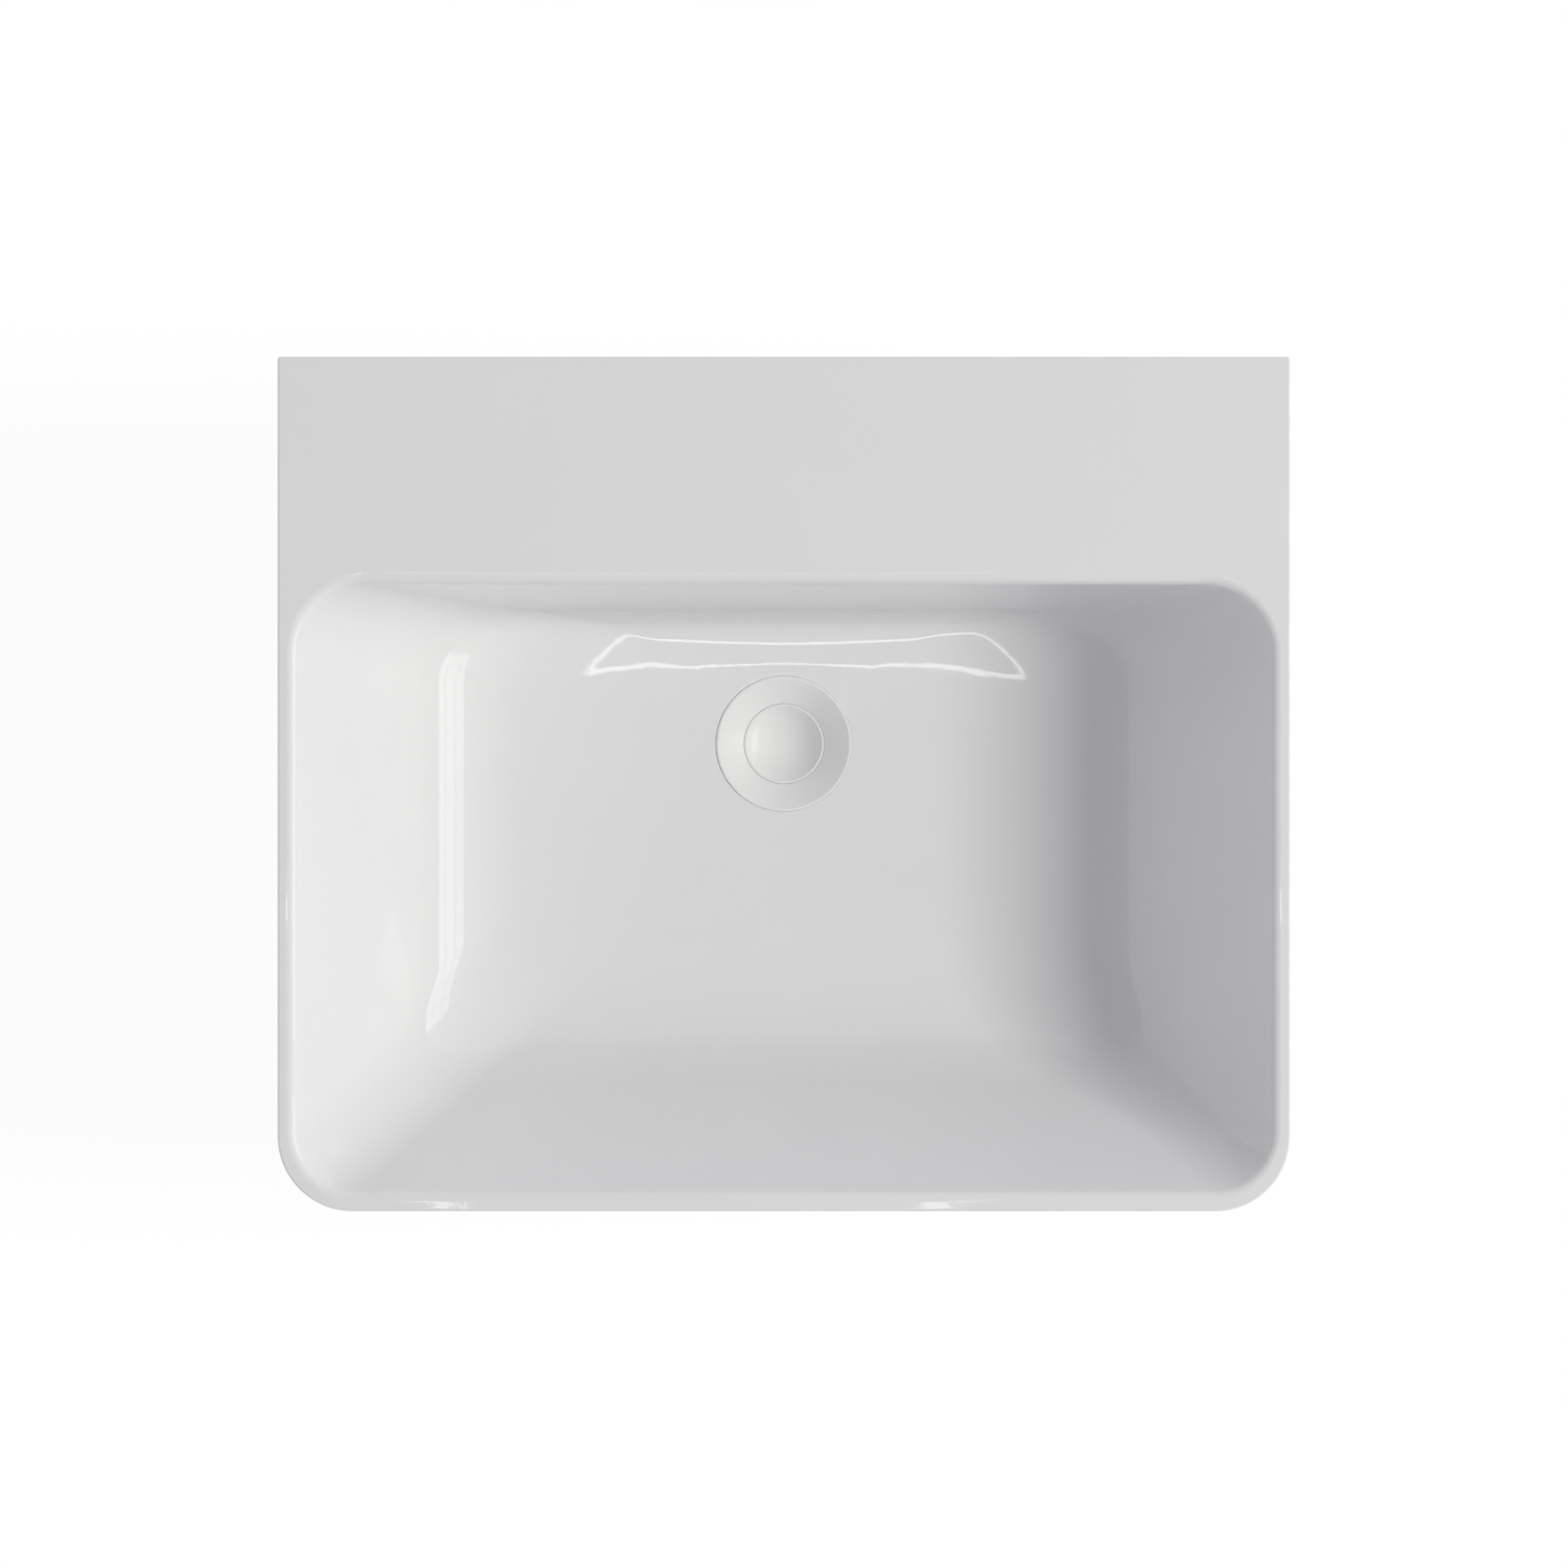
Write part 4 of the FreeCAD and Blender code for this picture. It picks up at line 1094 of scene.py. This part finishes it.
def flange_profile(waste):
    """The flange's section: land, edge, cone, shoulder, threaded neck, bore, seat, pocket and dish."""
    top = FLANGE_HIGH.z
    foot = FLANGE_LOW.z
    seat_edge = CAP_HIGH.z - waste.pocket_depth
    seat_foot = seat_edge - (waste.pocket - waste.neck_bore) * math.tan(waste.seat_slope)
    shoulder_foot = seat_foot - waste.shoulder_floor
    return rounded([
        (waste.flange - waste.flange_land, top, LAND_EDGE_R),
        (waste.flange, top, FLANGE_EDGE_R),
        (waste.flange, top - waste.flange_edge, FLANGE_EDGE_R),
        (waste.shoulder, flange_under(waste.shoulder), FLANGE_EDGE_R),
        (waste.shoulder, shoulder_foot, FLANGE_EDGE_R),
        (waste.neck, shoulder_foot, FLANGE_EDGE_R),
        (waste.neck, foot, NECK_END_R),
        (waste.neck_bore, foot, FLANGE_EDGE_R),
        (waste.neck_bore, seat_foot, FLANGE_EDGE_R),
        (waste.pocket, seat_edge, FLANGE_EDGE_R),
        (waste.pocket, CAP_HIGH.z, POCKET_EDGE_R),
    ])


class BASIN_OT_flange(bpy.types.Operator):
    """Builds the upper part of the waste: dished flange and threaded neck"""
    bl_idname = "basin.flange"
    bl_label = "Waste flange"

    def execute(self, context):
        waste = context.scene.basin_waste
        profile = flange_profile(waste)
        neck_top = min(point.y for point in profile if point.x > waste.neck + POLE)
        piece = turned("waste_flange_dish", with_thread_rings(profile, waste.neck))
        cut_thread(piece, FLANGE_LOW.z, neck_top, waste.neck_bore + waste.thread_depth, "Gloss white coat")
        dress(piece, "casting", "white_coat", "waste_flange", "Gloss white coat", "Bright chrome")
        bare_below = flange_under(waste.shoulder)
        for face in piece.data.polygons:
            outside = math.hypot(face.center.x, face.center.y - AXIS.y) > (waste.neck + waste.neck_bore) / 2
            face.material_index = 1 if face.center.z < bare_below and outside else 0
        return {"FINISHED"}


def bridge_tree(name):
    """Joins a hub with arms that run out from it to the neck."""
    tree, given, out = new_shape_tree(name, {
        "Arms": "Int", "Start": "Float", "End": "Float", "Width": "Float", "Height": "Float",
        "Round": "Float", "Centre": "Vector",
    })
    start = result(tree, "ShaderNodeCombineXYZ", {"X": given["Start"]})
    end = result(tree, "ShaderNodeCombineXYZ", {"X": given["End"]})
    path = result(tree, "GeometryNodeCurvePrimitiveLine", {"Start": start, "End": end})
    section = result(tree, "GeometryNodeCurvePrimitiveQuadrilateral", {
        "Width": given["Width"], "Height": given["Height"],
    })
    soft = result(tree, "GeometryNodeFilletCurve", {
        "Curve": section, "Radius": given["Round"], "Count": ARM_EDGE_STEPS,
    }, mode="POLY")
    arm = result(tree, "GeometryNodeCurveToMesh", {"Curve": path, "Profile Curve": soft, "Fill Caps": True})
    spots = result(tree, "GeometryNodePoints", {"Count": given["Arms"]})
    index = result(tree, "GeometryNodeInputIndex")
    angle = maths(tree, "DIVIDE", maths(tree, "MULTIPLY", index, math.tau), given["Arms"])
    turn = result(tree, "ShaderNodeCombineXYZ", {"Z": maths(tree, "ADD", angle, math.pi / 2)})
    arms = result(tree, "GeometryNodeInstanceOnPoints", {"Points": spots, "Instance": arm, "Rotation": turn})
    placed = result(tree, "GeometryNodeTransform", {"Geometry": arms, "Translation": given["Centre"]})
    both = tree.nodes.new("GeometryNodeJoinGeometry")
    for shape in (given["Geometry"], placed):
        feed(tree, both, {0: shape})
    end_shape_tree(tree, given, out, both.outputs[0])
    return tree


class BASIN_OT_bridge(bpy.types.Operator):
    """Builds the hub in the neck and the arms that carry it"""
    bl_idname = "basin.bridge"
    bl_label = "Waste bridge"

    def execute(self, context):
        waste = context.scene.basin_waste
        hub_top = NUT_TOP + waste.hub_height
        hub_r = waste.hub_bore + waste.hub_wall
        hub = turned("waste_bridge", ring_section(waste.hub_bore, hub_r, NUT_TOP, hub_top, HUB_EDGE_R))
        run_tree(hub, bridge_tree("Bridge arms"), {
            "Arms": waste.arms, "Width": waste.arm_width, "Height": waste.hub_height, "Round": ARM_EDGE_R,
            "Start": waste.hub_bore + waste.hub_wall / 2, "End": waste.neck_bore + ARM_BITE,
            "Centre": AXIS + Vector((0, 0, (hub_top + NUT_TOP) / 2)), "Material": finish("Gloss white coat"),
        })
        smooth(hub.data)
        dress(hub, "casting", "white_coat", "waste_flange", "Gloss white coat")
        return {"FINISHED"}


# Lower part of the waste

class BASIN_OT_seals(bpy.types.Operator):
    """Builds the seal under the casting and the slip washer, and finishes the gasket under the flange"""
    bl_idname = "basin.seals"
    bl_label = "Seals"

    def execute(self, context):
        inner = context.scene.basin_waste.neck + SLIDE_CLEARANCE
        nose_r = context.scene.basin_casting.outlet_hole - SLIDE_CLEARANCE
        outer = (SEAL_HIGH.x - SEAL_LOW.x) / 2
        seal = turned("waste_lower_seal", rounded([
            (inner, SEAL_HIGH.z, SEAL_EDGE_R), ((inner + nose_r) / 2, SEAL_HIGH.z, SEAL_EDGE_R),
            (nose_r, BASIN_LOW.z, SEAL_EDGE_R), (outer, BASIN_LOW.z, SEAL_EDGE_R),
            (outer, SEAL_LOW.z, SEAL_FOOT_R), (inner, SEAL_LOW.z, SEAL_EDGE_R),
        ]))
        dress(seal, "casting", "rubber", "lower_seal", "Moulded rubber")
        outer = (SLIP_HIGH.x - SLIP_LOW.x) / 2
        section = ring_section(inner, outer, SLIP_LOW.z, SLIP_HIGH.z, SEAL_EDGE_R)
        washer = turned("waste_slip_washer", section)
        dress(washer, "casting", "plastic", "slip_washer", "Moulded acetal")
        finish_nodes("Moulded rubber", "flange_gasket")
        return {"FINISHED"}


def hexagon_ring(flats, cone_r, cone_height, fall):
    """A ring where the flats of a hexagon meet the cone that its corners are turned off at. The cone starts
    at a radius and a height, and falls by a share of its run."""
    side = math.tau / 6
    ring = []
    for angle in full_turn(BODY_SEGMENTS):
        from_flat = angle % side - side / 2
        radius = flats / 2 / math.cos(from_flat)
        ring += arc(radius, cone_height - (radius - cone_r) * fall, [angle])
    return ring


class BASIN_OT_body(bpy.types.Operator):
    """Builds the lower part of the waste: collar, hexagon, and the tail with its thread"""
    bl_idname = "basin.body"
    bl_label = "Waste body"

    def execute(self, context):
        waste = context.scene.basin_waste
        collar_r = (BODY_HIGH.x - BODY_LOW.x) / 2
        collar_foot = BODY_HIGH.z - waste.collar_height
        hex_foot = collar_foot - waste.hex_height
        cone_r = waste.hex_flats / 2 - TURNED_EDGE_R
        cone_fall = math.tan(waste.hex_chamfer)
        tail_top = hex_foot - waste.taper
        socket_r = waste.neck + THREAD_CLEARANCE
        socket_foot = FLANGE_LOW.z - waste.socket_spare
        collar = rounded([
            (socket_r, socket_foot, 0), (socket_r, BODY_HIGH.z, TURNED_EDGE_R),
            (collar_r, BODY_HIGH.z, TURNED_EDGE_R), (collar_r, collar_foot, TURNED_EDGE_R),
            (cone_r, collar_foot, 0),
        ], closed=False)[1:]
        tail = rounded([
            (cone_r, hex_foot, 0), (waste.neck, tail_top, TURNED_EDGE_R),
            (waste.neck, BODY_LOW.z, TAIL_END_R), (waste.tail_bore, BODY_LOW.z, TURNED_EDGE_R),
            (waste.tail_bore, socket_foot, TURNED_EDGE_R), (socket_r, socket_foot, TURNED_EDGE_R),
            (socket_r, BODY_HIGH.z, 0),
        ], closed=False)[:-1]
        angles = full_turn(BODY_SEGMENTS)
        rings = [arc(point.x, point.y, angles) for point in collar]
        rings.append(hexagon_ring(waste.hex_flats, cone_r, collar_foot, cone_fall))
        rings.append(hexagon_ring(waste.hex_flats, cone_r, hex_foot, -cone_fall))
        rings += [arc(point.x, point.y, angles) for point in with_thread_rings(tail, waste.neck)]
        piece = new_piece("waste_lower_body", closed_mesh("waste_lower_body", rings, wraps=True))
        cut_thread(piece, BODY_LOW.z, tail_top, waste.tail_bore + waste.thread_depth, "Bright chrome")
        dress(piece, "casting", "chrome", "waste_body", "Bright chrome")
        return {"FINISHED"}


# Plug and cartridge

class BASIN_OT_cartridge(bpy.types.Operator):
    """Finishes the push-push cartridge in the bridge"""
    bl_idname = "basin.cartridge"
    bl_label = "Cartridge"

    def execute(self, context):
        finish_nodes("Turned brass", "cartridge_housing", "cartridge_nut", "plug_stem")
        finish_nodes("Moulded acetal", "cartridge_gland", "cam_sleeve")
        finish_nodes("Drawn steel", "cross_pin")
        return {"FINISHED"}


def dish_place(waste, radius, skin):
    """A place of the plug's dished face, or of its underside one skin below, at a radius."""
    edge = (CAP_HIGH.x - CAP_LOW.x) / 2 - waste.plug_land
    dish_r = (edge ** 2 + waste.plug_dish ** 2) / (2 * waste.plug_dish)
    centre = CAP_HIGH.z - waste.plug_dish + dish_r
    return Vector((radius, centre - math.sqrt((dish_r + skin) ** 2 - radius ** 2)))


class BASIN_OT_plug(bpy.types.Operator):
    """Builds the plug: the dished cap with its lip, skirt and boss, and finishes the gasket under the lip"""
    bl_idname = "basin.plug"
    bl_label = "Plug"

    def execute(self, context):
        waste = context.scene.basin_waste
        outer = (CAP_HIGH.x - CAP_LOW.x) / 2
        edge = outer - waste.plug_land
        lip_foot = CAP_HIGH.z - waste.plug_lip
        skirt_inner = waste.skirt - waste.skirt_wall
        boss_foot = dish_place(waste, 0, 0).y - waste.plug_skin - waste.plug_boss_length
        thread_r = waste.stem + THREAD_CLEARANCE
        thread_top = STEM_TOP + STEM_CLEARANCE
        face = [dish_place(waste, r, 0) for r in spread(0, edge, PLUG_FACE_RINGS)[:-1]]
        edges = rounded([
            (*face[-1], 0), (edge, CAP_HIGH.z, PLUG_EDGE_R), (outer, CAP_HIGH.z, PLUG_EDGE_R),
            (outer, lip_foot, PLUG_EDGE_R), (waste.skirt, lip_foot, PLUG_EDGE_R),
            (waste.skirt, CAP_LOW.z, PLUG_EDGE_R), (skirt_inner, CAP_LOW.z, PLUG_EDGE_R),
            (*dish_place(waste, skirt_inner, waste.plug_skin), 0),
        ], closed=False)
        under_radii = spread(skirt_inner, waste.plug_boss, PLUG_UNDER_RINGS)[1:-1]
        under = [dish_place(waste, r, waste.plug_skin) for r in under_radii]
        boss = rounded([
            (*under[-1], 0), (*dish_place(waste, waste.plug_boss, waste.plug_skin), PLUG_EDGE_R),
            (waste.plug_boss, boss_foot, PLUG_EDGE_R), (thread_r, boss_foot, PLUG_EDGE_R),
            (thread_r, thread_top, 0), (0, thread_top, 0),
        ], closed=False)
        cap = turned("plug_dished_cap", face + edges[1:] + under + boss[1:], wraps=False)
        dress(cap, "plug", "white_coat", "plug_cap", "Gloss white coat")
        finish_nodes("Moulded rubber", "plug_gasket")
        return {"FINISHED"}


def coil_tree(name):
    """Winds a wire into a coil spring that stands on a point."""
    tree, given, out = new_shape_tree(name, {
        "Wire": "Float", "Coils": "Float", "Radius": "Float", "Height": "Float", "Foot": "Vector",
    })
    coil = result(tree, "GeometryNodeCurveSpiral", {
        "Resolution": COIL_STEPS, "Rotations": given["Coils"], "Start Radius": given["Radius"],
        "End Radius": given["Radius"], "Height": given["Height"],
    })
    section = result(tree, "GeometryNodeCurvePrimitiveCircle", {
        "Resolution": WIRE_SEGMENTS, "Radius": maths(tree, "MULTIPLY", given["Wire"], 0.5),
    })
    wire = result(tree, "GeometryNodeCurveToMesh", {
        "Curve": coil, "Profile Curve": section, "Fill Caps": True,
    })
    placed = result(tree, "GeometryNodeTransform", {"Geometry": wire, "Translation": given["Foot"]})
    end_shape_tree(tree, given, out, placed)
    return tree


class BASIN_OT_spring(bpy.types.Operator):
    """Winds the spring that lifts the plug; it stretches between the cartridge and the plug"""
    bl_idname = "basin.spring"
    bl_label = "Plug spring"

    def execute(self, context):
        waste = context.scene.basin_waste
        spring = new_piece("plug_lift_spring", bpy.data.meshes.new("plug_lift_spring"))
        run_tree(spring, coil_tree("Spring coil"), {
            "Wire": waste.wire, "Coils": float(waste.coils),
            "Foot": AXIS + Vector((0, 0, SPRING_LOW.z + waste.wire / 2)),
            "Radius": (SPRING_HIGH.x - SPRING_LOW.x - waste.wire) / 2,
            "Height": SPRING_HIGH.z - SPRING_LOW.z - waste.wire, "Material": finish("Drawn steel"),
        })
        smooth(spring.data)
        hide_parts("plug_spring")
        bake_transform(spring)
        return {"FINISHED"}


# Stage

def seen_directly(tree):
    """A mask of the rays that show a surface to the camera, straight or in a reflection or through glass."""
    path = place(tree, "ShaderNodeLightPath")
    seen = maths(tree, "MAXIMUM", path["Is Camera Ray"], path["Is Glossy Ray"])
    return maths(tree, "MAXIMUM", seen, path["Is Transmission Ray"])


def mix_shaders(tree, mask, first, second):
    """A shader that goes from the first to the second with a mask."""
    return result(tree, "ShaderNodeMixShader", {0: mask, 1: first, 2: second})


def grey(tone):
    """A colour without a hue."""
    return tone, tone, tone, 1


def stage_finish(name, build):
    """A material for the stage, with the shader that a function builds in its node tree."""
    made = bpy.data.materials.new(name)
    made.use_nodes = True
    tree = made.node_tree
    tree.nodes.remove(tree.nodes["Principled BSDF"])
    feed(tree, tree.nodes["Material Output"], {"Surface": build(tree)})
    return made


def sheet(name, start, along, up, material):
    """A flat piece of the stage, from one corner and its two sides."""
    mesh = bpy.data.meshes.new(name)
    mesh.from_pydata([start, start + along, start + along + up, start + up], [], [(0, 1, 2, 3)])
    mesh.materials.append(material)
    piece = new_piece(name, mesh)
    return piece


def studio_floor(stage):
    """A wide pale floor just under the tail of the waste. It is seen as the backdrop's colour, less the
    object's soft shadow, and it is clear from below, so that the underside can be looked at."""
    def shader(tree):
        matt = result(tree, "ShaderNodeBsdfDiffuse", {"Color": grey(stage.floor_matt)})
        faint = result(tree, "ShaderNodeBsdfDiffuse", {"Color": grey(stage.floor_faint)})
        glow = {"Color": (*stage.backdrop, 1), "Strength": stage.floor_glow}
        shown = result(tree, "ShaderNodeAddShader", {0: faint, 1: result(tree, "ShaderNodeEmission", glow)})
        above = mix_shaders(tree, seen_directly(tree), matt, shown)
        below = place(tree, "ShaderNodeNewGeometry")["Backfacing"]
        return mix_shaders(tree, below, above, result(tree, "ShaderNodeBsdfTransparent"))

    side = stage.floor_side
    start = Vector((-side / 2, -side / 2, BODY_LOW.z - MM))
    material = stage_finish("Studio floor", shader)
    sheet("studio_floor", start, Vector((side, 0, 0)), Vector((0, side, 0)), material)


def dark_card(stage, aim):
    """A card on the left that shows only where the glaze mirrors it: dark below, and paling upwards to the
    backdrop's white."""
    foot = BODY_LOW.z
    top = aim.z + stage.card_height

    def shader(tree):
        where = place(tree, "ShaderNodeTexCoord")["Object"]
        tone = result(tree, "ShaderNodeMapRange", {
            "Value": place(tree, "ShaderNodeSeparateXYZ", {0: where})["Z"],
            "From Min": aim.z + stage.card_dark, "From Max": top, "To Min": stage.card_tone,
        }, interpolation_type="SMOOTHSTEP")
        return result(tree, "ShaderNodeEmission", {"Strength": tone})

    start = Vector((aim.x - stage.card_distance, aim.y - stage.card_width / 2, foot))
    along = Vector((0, stage.card_width, 0))
    card = sheet("dark_card", start, along, Vector((0, 0, top - foot)), stage_finish("Dark card", shader))
    card.visible_camera = False
    card.visible_diffuse = False
    card.visible_shadow = False
    card.visible_transmission = False


def surroundings(stage):
    """Soft light from all round, stronger from the horizon than from overhead, seen as the backdrop's
    colour."""
    world = bpy.data.worlds.new("Studio surroundings")
    world.use_nodes = True
    tree = world.node_tree
    tree.nodes.remove(tree.nodes["Background"])
    toward = place(tree, "ShaderNodeTexCoord")["Generated"]
    strength = result(tree, "ShaderNodeMapRange", {
        "Value": place(tree, "ShaderNodeSeparateXYZ", {0: toward})["Z"],
        "To Min": stage.fill_low, "To Max": stage.fill_high,
    })
    fill = result(tree, "ShaderNodeBackground", {"Color": (*stage.fill_tint, 1), "Strength": strength})
    shown = result(tree, "ShaderNodeBackground", {"Color": (*stage.backdrop, 1), "Strength": 1.0})
    feed(tree, tree.nodes["World Output"], {"Surface": mix_shaders(tree, seen_directly(tree), fill, shown)})
    bpy.context.scene.world = world


def area_light(name, width, height, power, place_at, turn):
    """A rectangular light that the camera doesn't see. It shines along its own -Z."""
    data = bpy.data.lights.new(name, "AREA")
    data.shape = "RECTANGLE"
    data.size = width
    data.size_y = height
    data.energy = power
    light = bpy.data.objects.new(name, data)
    bpy.context.scene.collection.objects.link(light)
    light.matrix_world = Matrix.Translation(place_at) @ turn
    light.visible_camera = False
    return light


def mirrored_light(name, width, height, glow, place_at, turn):
    """A light of a given radiance that shows only where the glaze mirrors it."""
    light = area_light(name, width, height, glow * math.pi * width * height, place_at, turn)
    light.visible_diffuse = False


def facing(away):
    """The turn of a light that shines from a direction."""
    return away.to_track_quat("Z", "Y").to_matrix().to_4x4()


def key_light(stage, aim):
    """A soft light high on the right, too even to show in the glaze."""
    away = Vector((math.cos(stage.key_rise), 0, math.sin(stage.key_rise)))
    side = stage.key_side
    key = area_light("key_light", side, side, stage.key_power, aim + away * stage.key_distance, facing(away))
    key.data.color = stage.key_tint
    key.visible_glossy = False


def window_panes(stage, aim):
    """A window of panes on the right."""
    low = stage.window_distance * math.tan(stage.window_low)
    high = stage.window_distance * math.tan(stage.window_high)
    turn = facing(Vector((1, 0, 0)))
    pane_w = stage.window_width / stage.window_columns
    pane_h = (high - low) / stage.window_rows
    width = pane_w - stage.window_bar
    height = pane_h - stage.window_bar
    for column in range(stage.window_columns):
        for row in range(stage.window_rows):
            across = (column - (stage.window_columns - 1) / 2) * pane_w
            middle = aim + Vector((stage.window_distance, across, low + (row + 0.5) * pane_h))
            mirrored_light("window_pane", width, height, stage.window_glow, middle, turn)


def light_frame(stage, aim):
    """A frame of thin light bars overhead."""
    corners = [
        Vector((stage.near_bar_left, stage.near_bar_back, stage.frame_rise)),
        Vector((stage.near_bar_right, stage.near_bar_back, stage.frame_rise)),
        Vector((stage.far_bar_right, stage.far_bar_back, stage.frame_rise)),
        Vector((stage.far_bar_left, stage.far_bar_back, stage.frame_rise)),
    ]
    widths = [stage.near_bar, stage.end_bar, stage.far_bar, stage.end_bar]
    for start, end, width in zip(corners, corners[1:] + corners[:1], widths):
        run = end - start
        turn = Matrix.Rotation(math.atan2(run.y, run.x), 4, "Z")
        mirrored_light("light_bar", run.length, width, stage.frame_glow, aim + (start + end) / 2, turn)


def camera(stage, aim):
    """A camera that looks straight down on the basin, with the wall at the top of the picture."""
    data = bpy.data.cameras.new("camera")
    data.sensor_width = SENSOR_WIDTH
    data.lens = SENSOR_WIDTH * stage.view_height / stage.view_width
    eye = bpy.data.objects.new("camera", data)
    bpy.context.scene.collection.objects.link(eye)
    eye.location = aim + Vector((0, 0, stage.view_height))
    bpy.context.scene.camera = eye


class BASIN_OT_stage(bpy.types.Operator):
    """Sets the pale floor, the soft light and the camera"""
    bl_idname = "basin.stage"
    bl_label = "Stage"

    def execute(self, context):
        stage = context.scene.basin_stage
        aim = Vector((0, (BASIN_LOW.y + BASIN_HIGH.y) / 2, BASIN_HIGH.z))
        context.scene.view_settings.view_transform = "Standard"
        studio_floor(stage)
        surroundings(stage)
        key_light(stage, aim)
        window_panes(stage, aim)
        light_frame(stage, aim)
        dark_card(stage, aim)
        camera(stage, aim)
        return {"FINISHED"}


class BASIN_PT_panel(bpy.types.Panel):
    """Lists the pieces of the basin with their sizes and finishes"""
    bl_idname = "BASIN_PT_panel"
    bl_label = "Vanity basin"
    bl_space_type = "VIEW_3D"
    bl_region_type = "UI"
    bl_category = "Basin"

    def draw(self, context):
        for operator in OPERATORS:
            self.layout.operator(operator.bl_idname)
        for name in GROUPS:
            box = self.layout.box()
            group = getattr(context.scene, name)
            for key in group.__annotations__:
                box.prop(group, key, text=key.replace("_", " ").capitalize())


OPERATORS = [
    BASIN_OT_casting, BASIN_OT_flange, BASIN_OT_bridge, BASIN_OT_seals, BASIN_OT_body, BASIN_OT_cartridge,
    BASIN_OT_plug, BASIN_OT_spring, BASIN_OT_stage,
]
GROUPS = {
    "basin_casting": CastingSizes,
    "basin_waste": WasteSizes,
    "basin_finishes": Finishes,
    "basin_stage": StageSettings,
}
CLASSES = [*GROUPS.values(), *OPERATORS, BASIN_PT_panel]


def register():
    for each in CLASSES:
        bpy.utils.register_class(each)
    for name, group in GROUPS.items():
        setattr(bpy.types.Scene, name, PointerProperty(type=group))


def unregister():
    for name in GROUPS:
        delattr(bpy.types.Scene, name)
    for each in reversed(CLASSES):
        bpy.utils.unregister_class(each)


def main():
    register()
    bpy.ops.basin.casting()
    bpy.ops.basin.flange()
    bpy.ops.basin.bridge()
    bpy.ops.basin.seals()
    bpy.ops.basin.body()
    bpy.ops.basin.cartridge()
    bpy.ops.basin.plug()
    bpy.ops.basin.spring()
    bpy.ops.basin.stage()


if __name__ == "__main__":
    main()
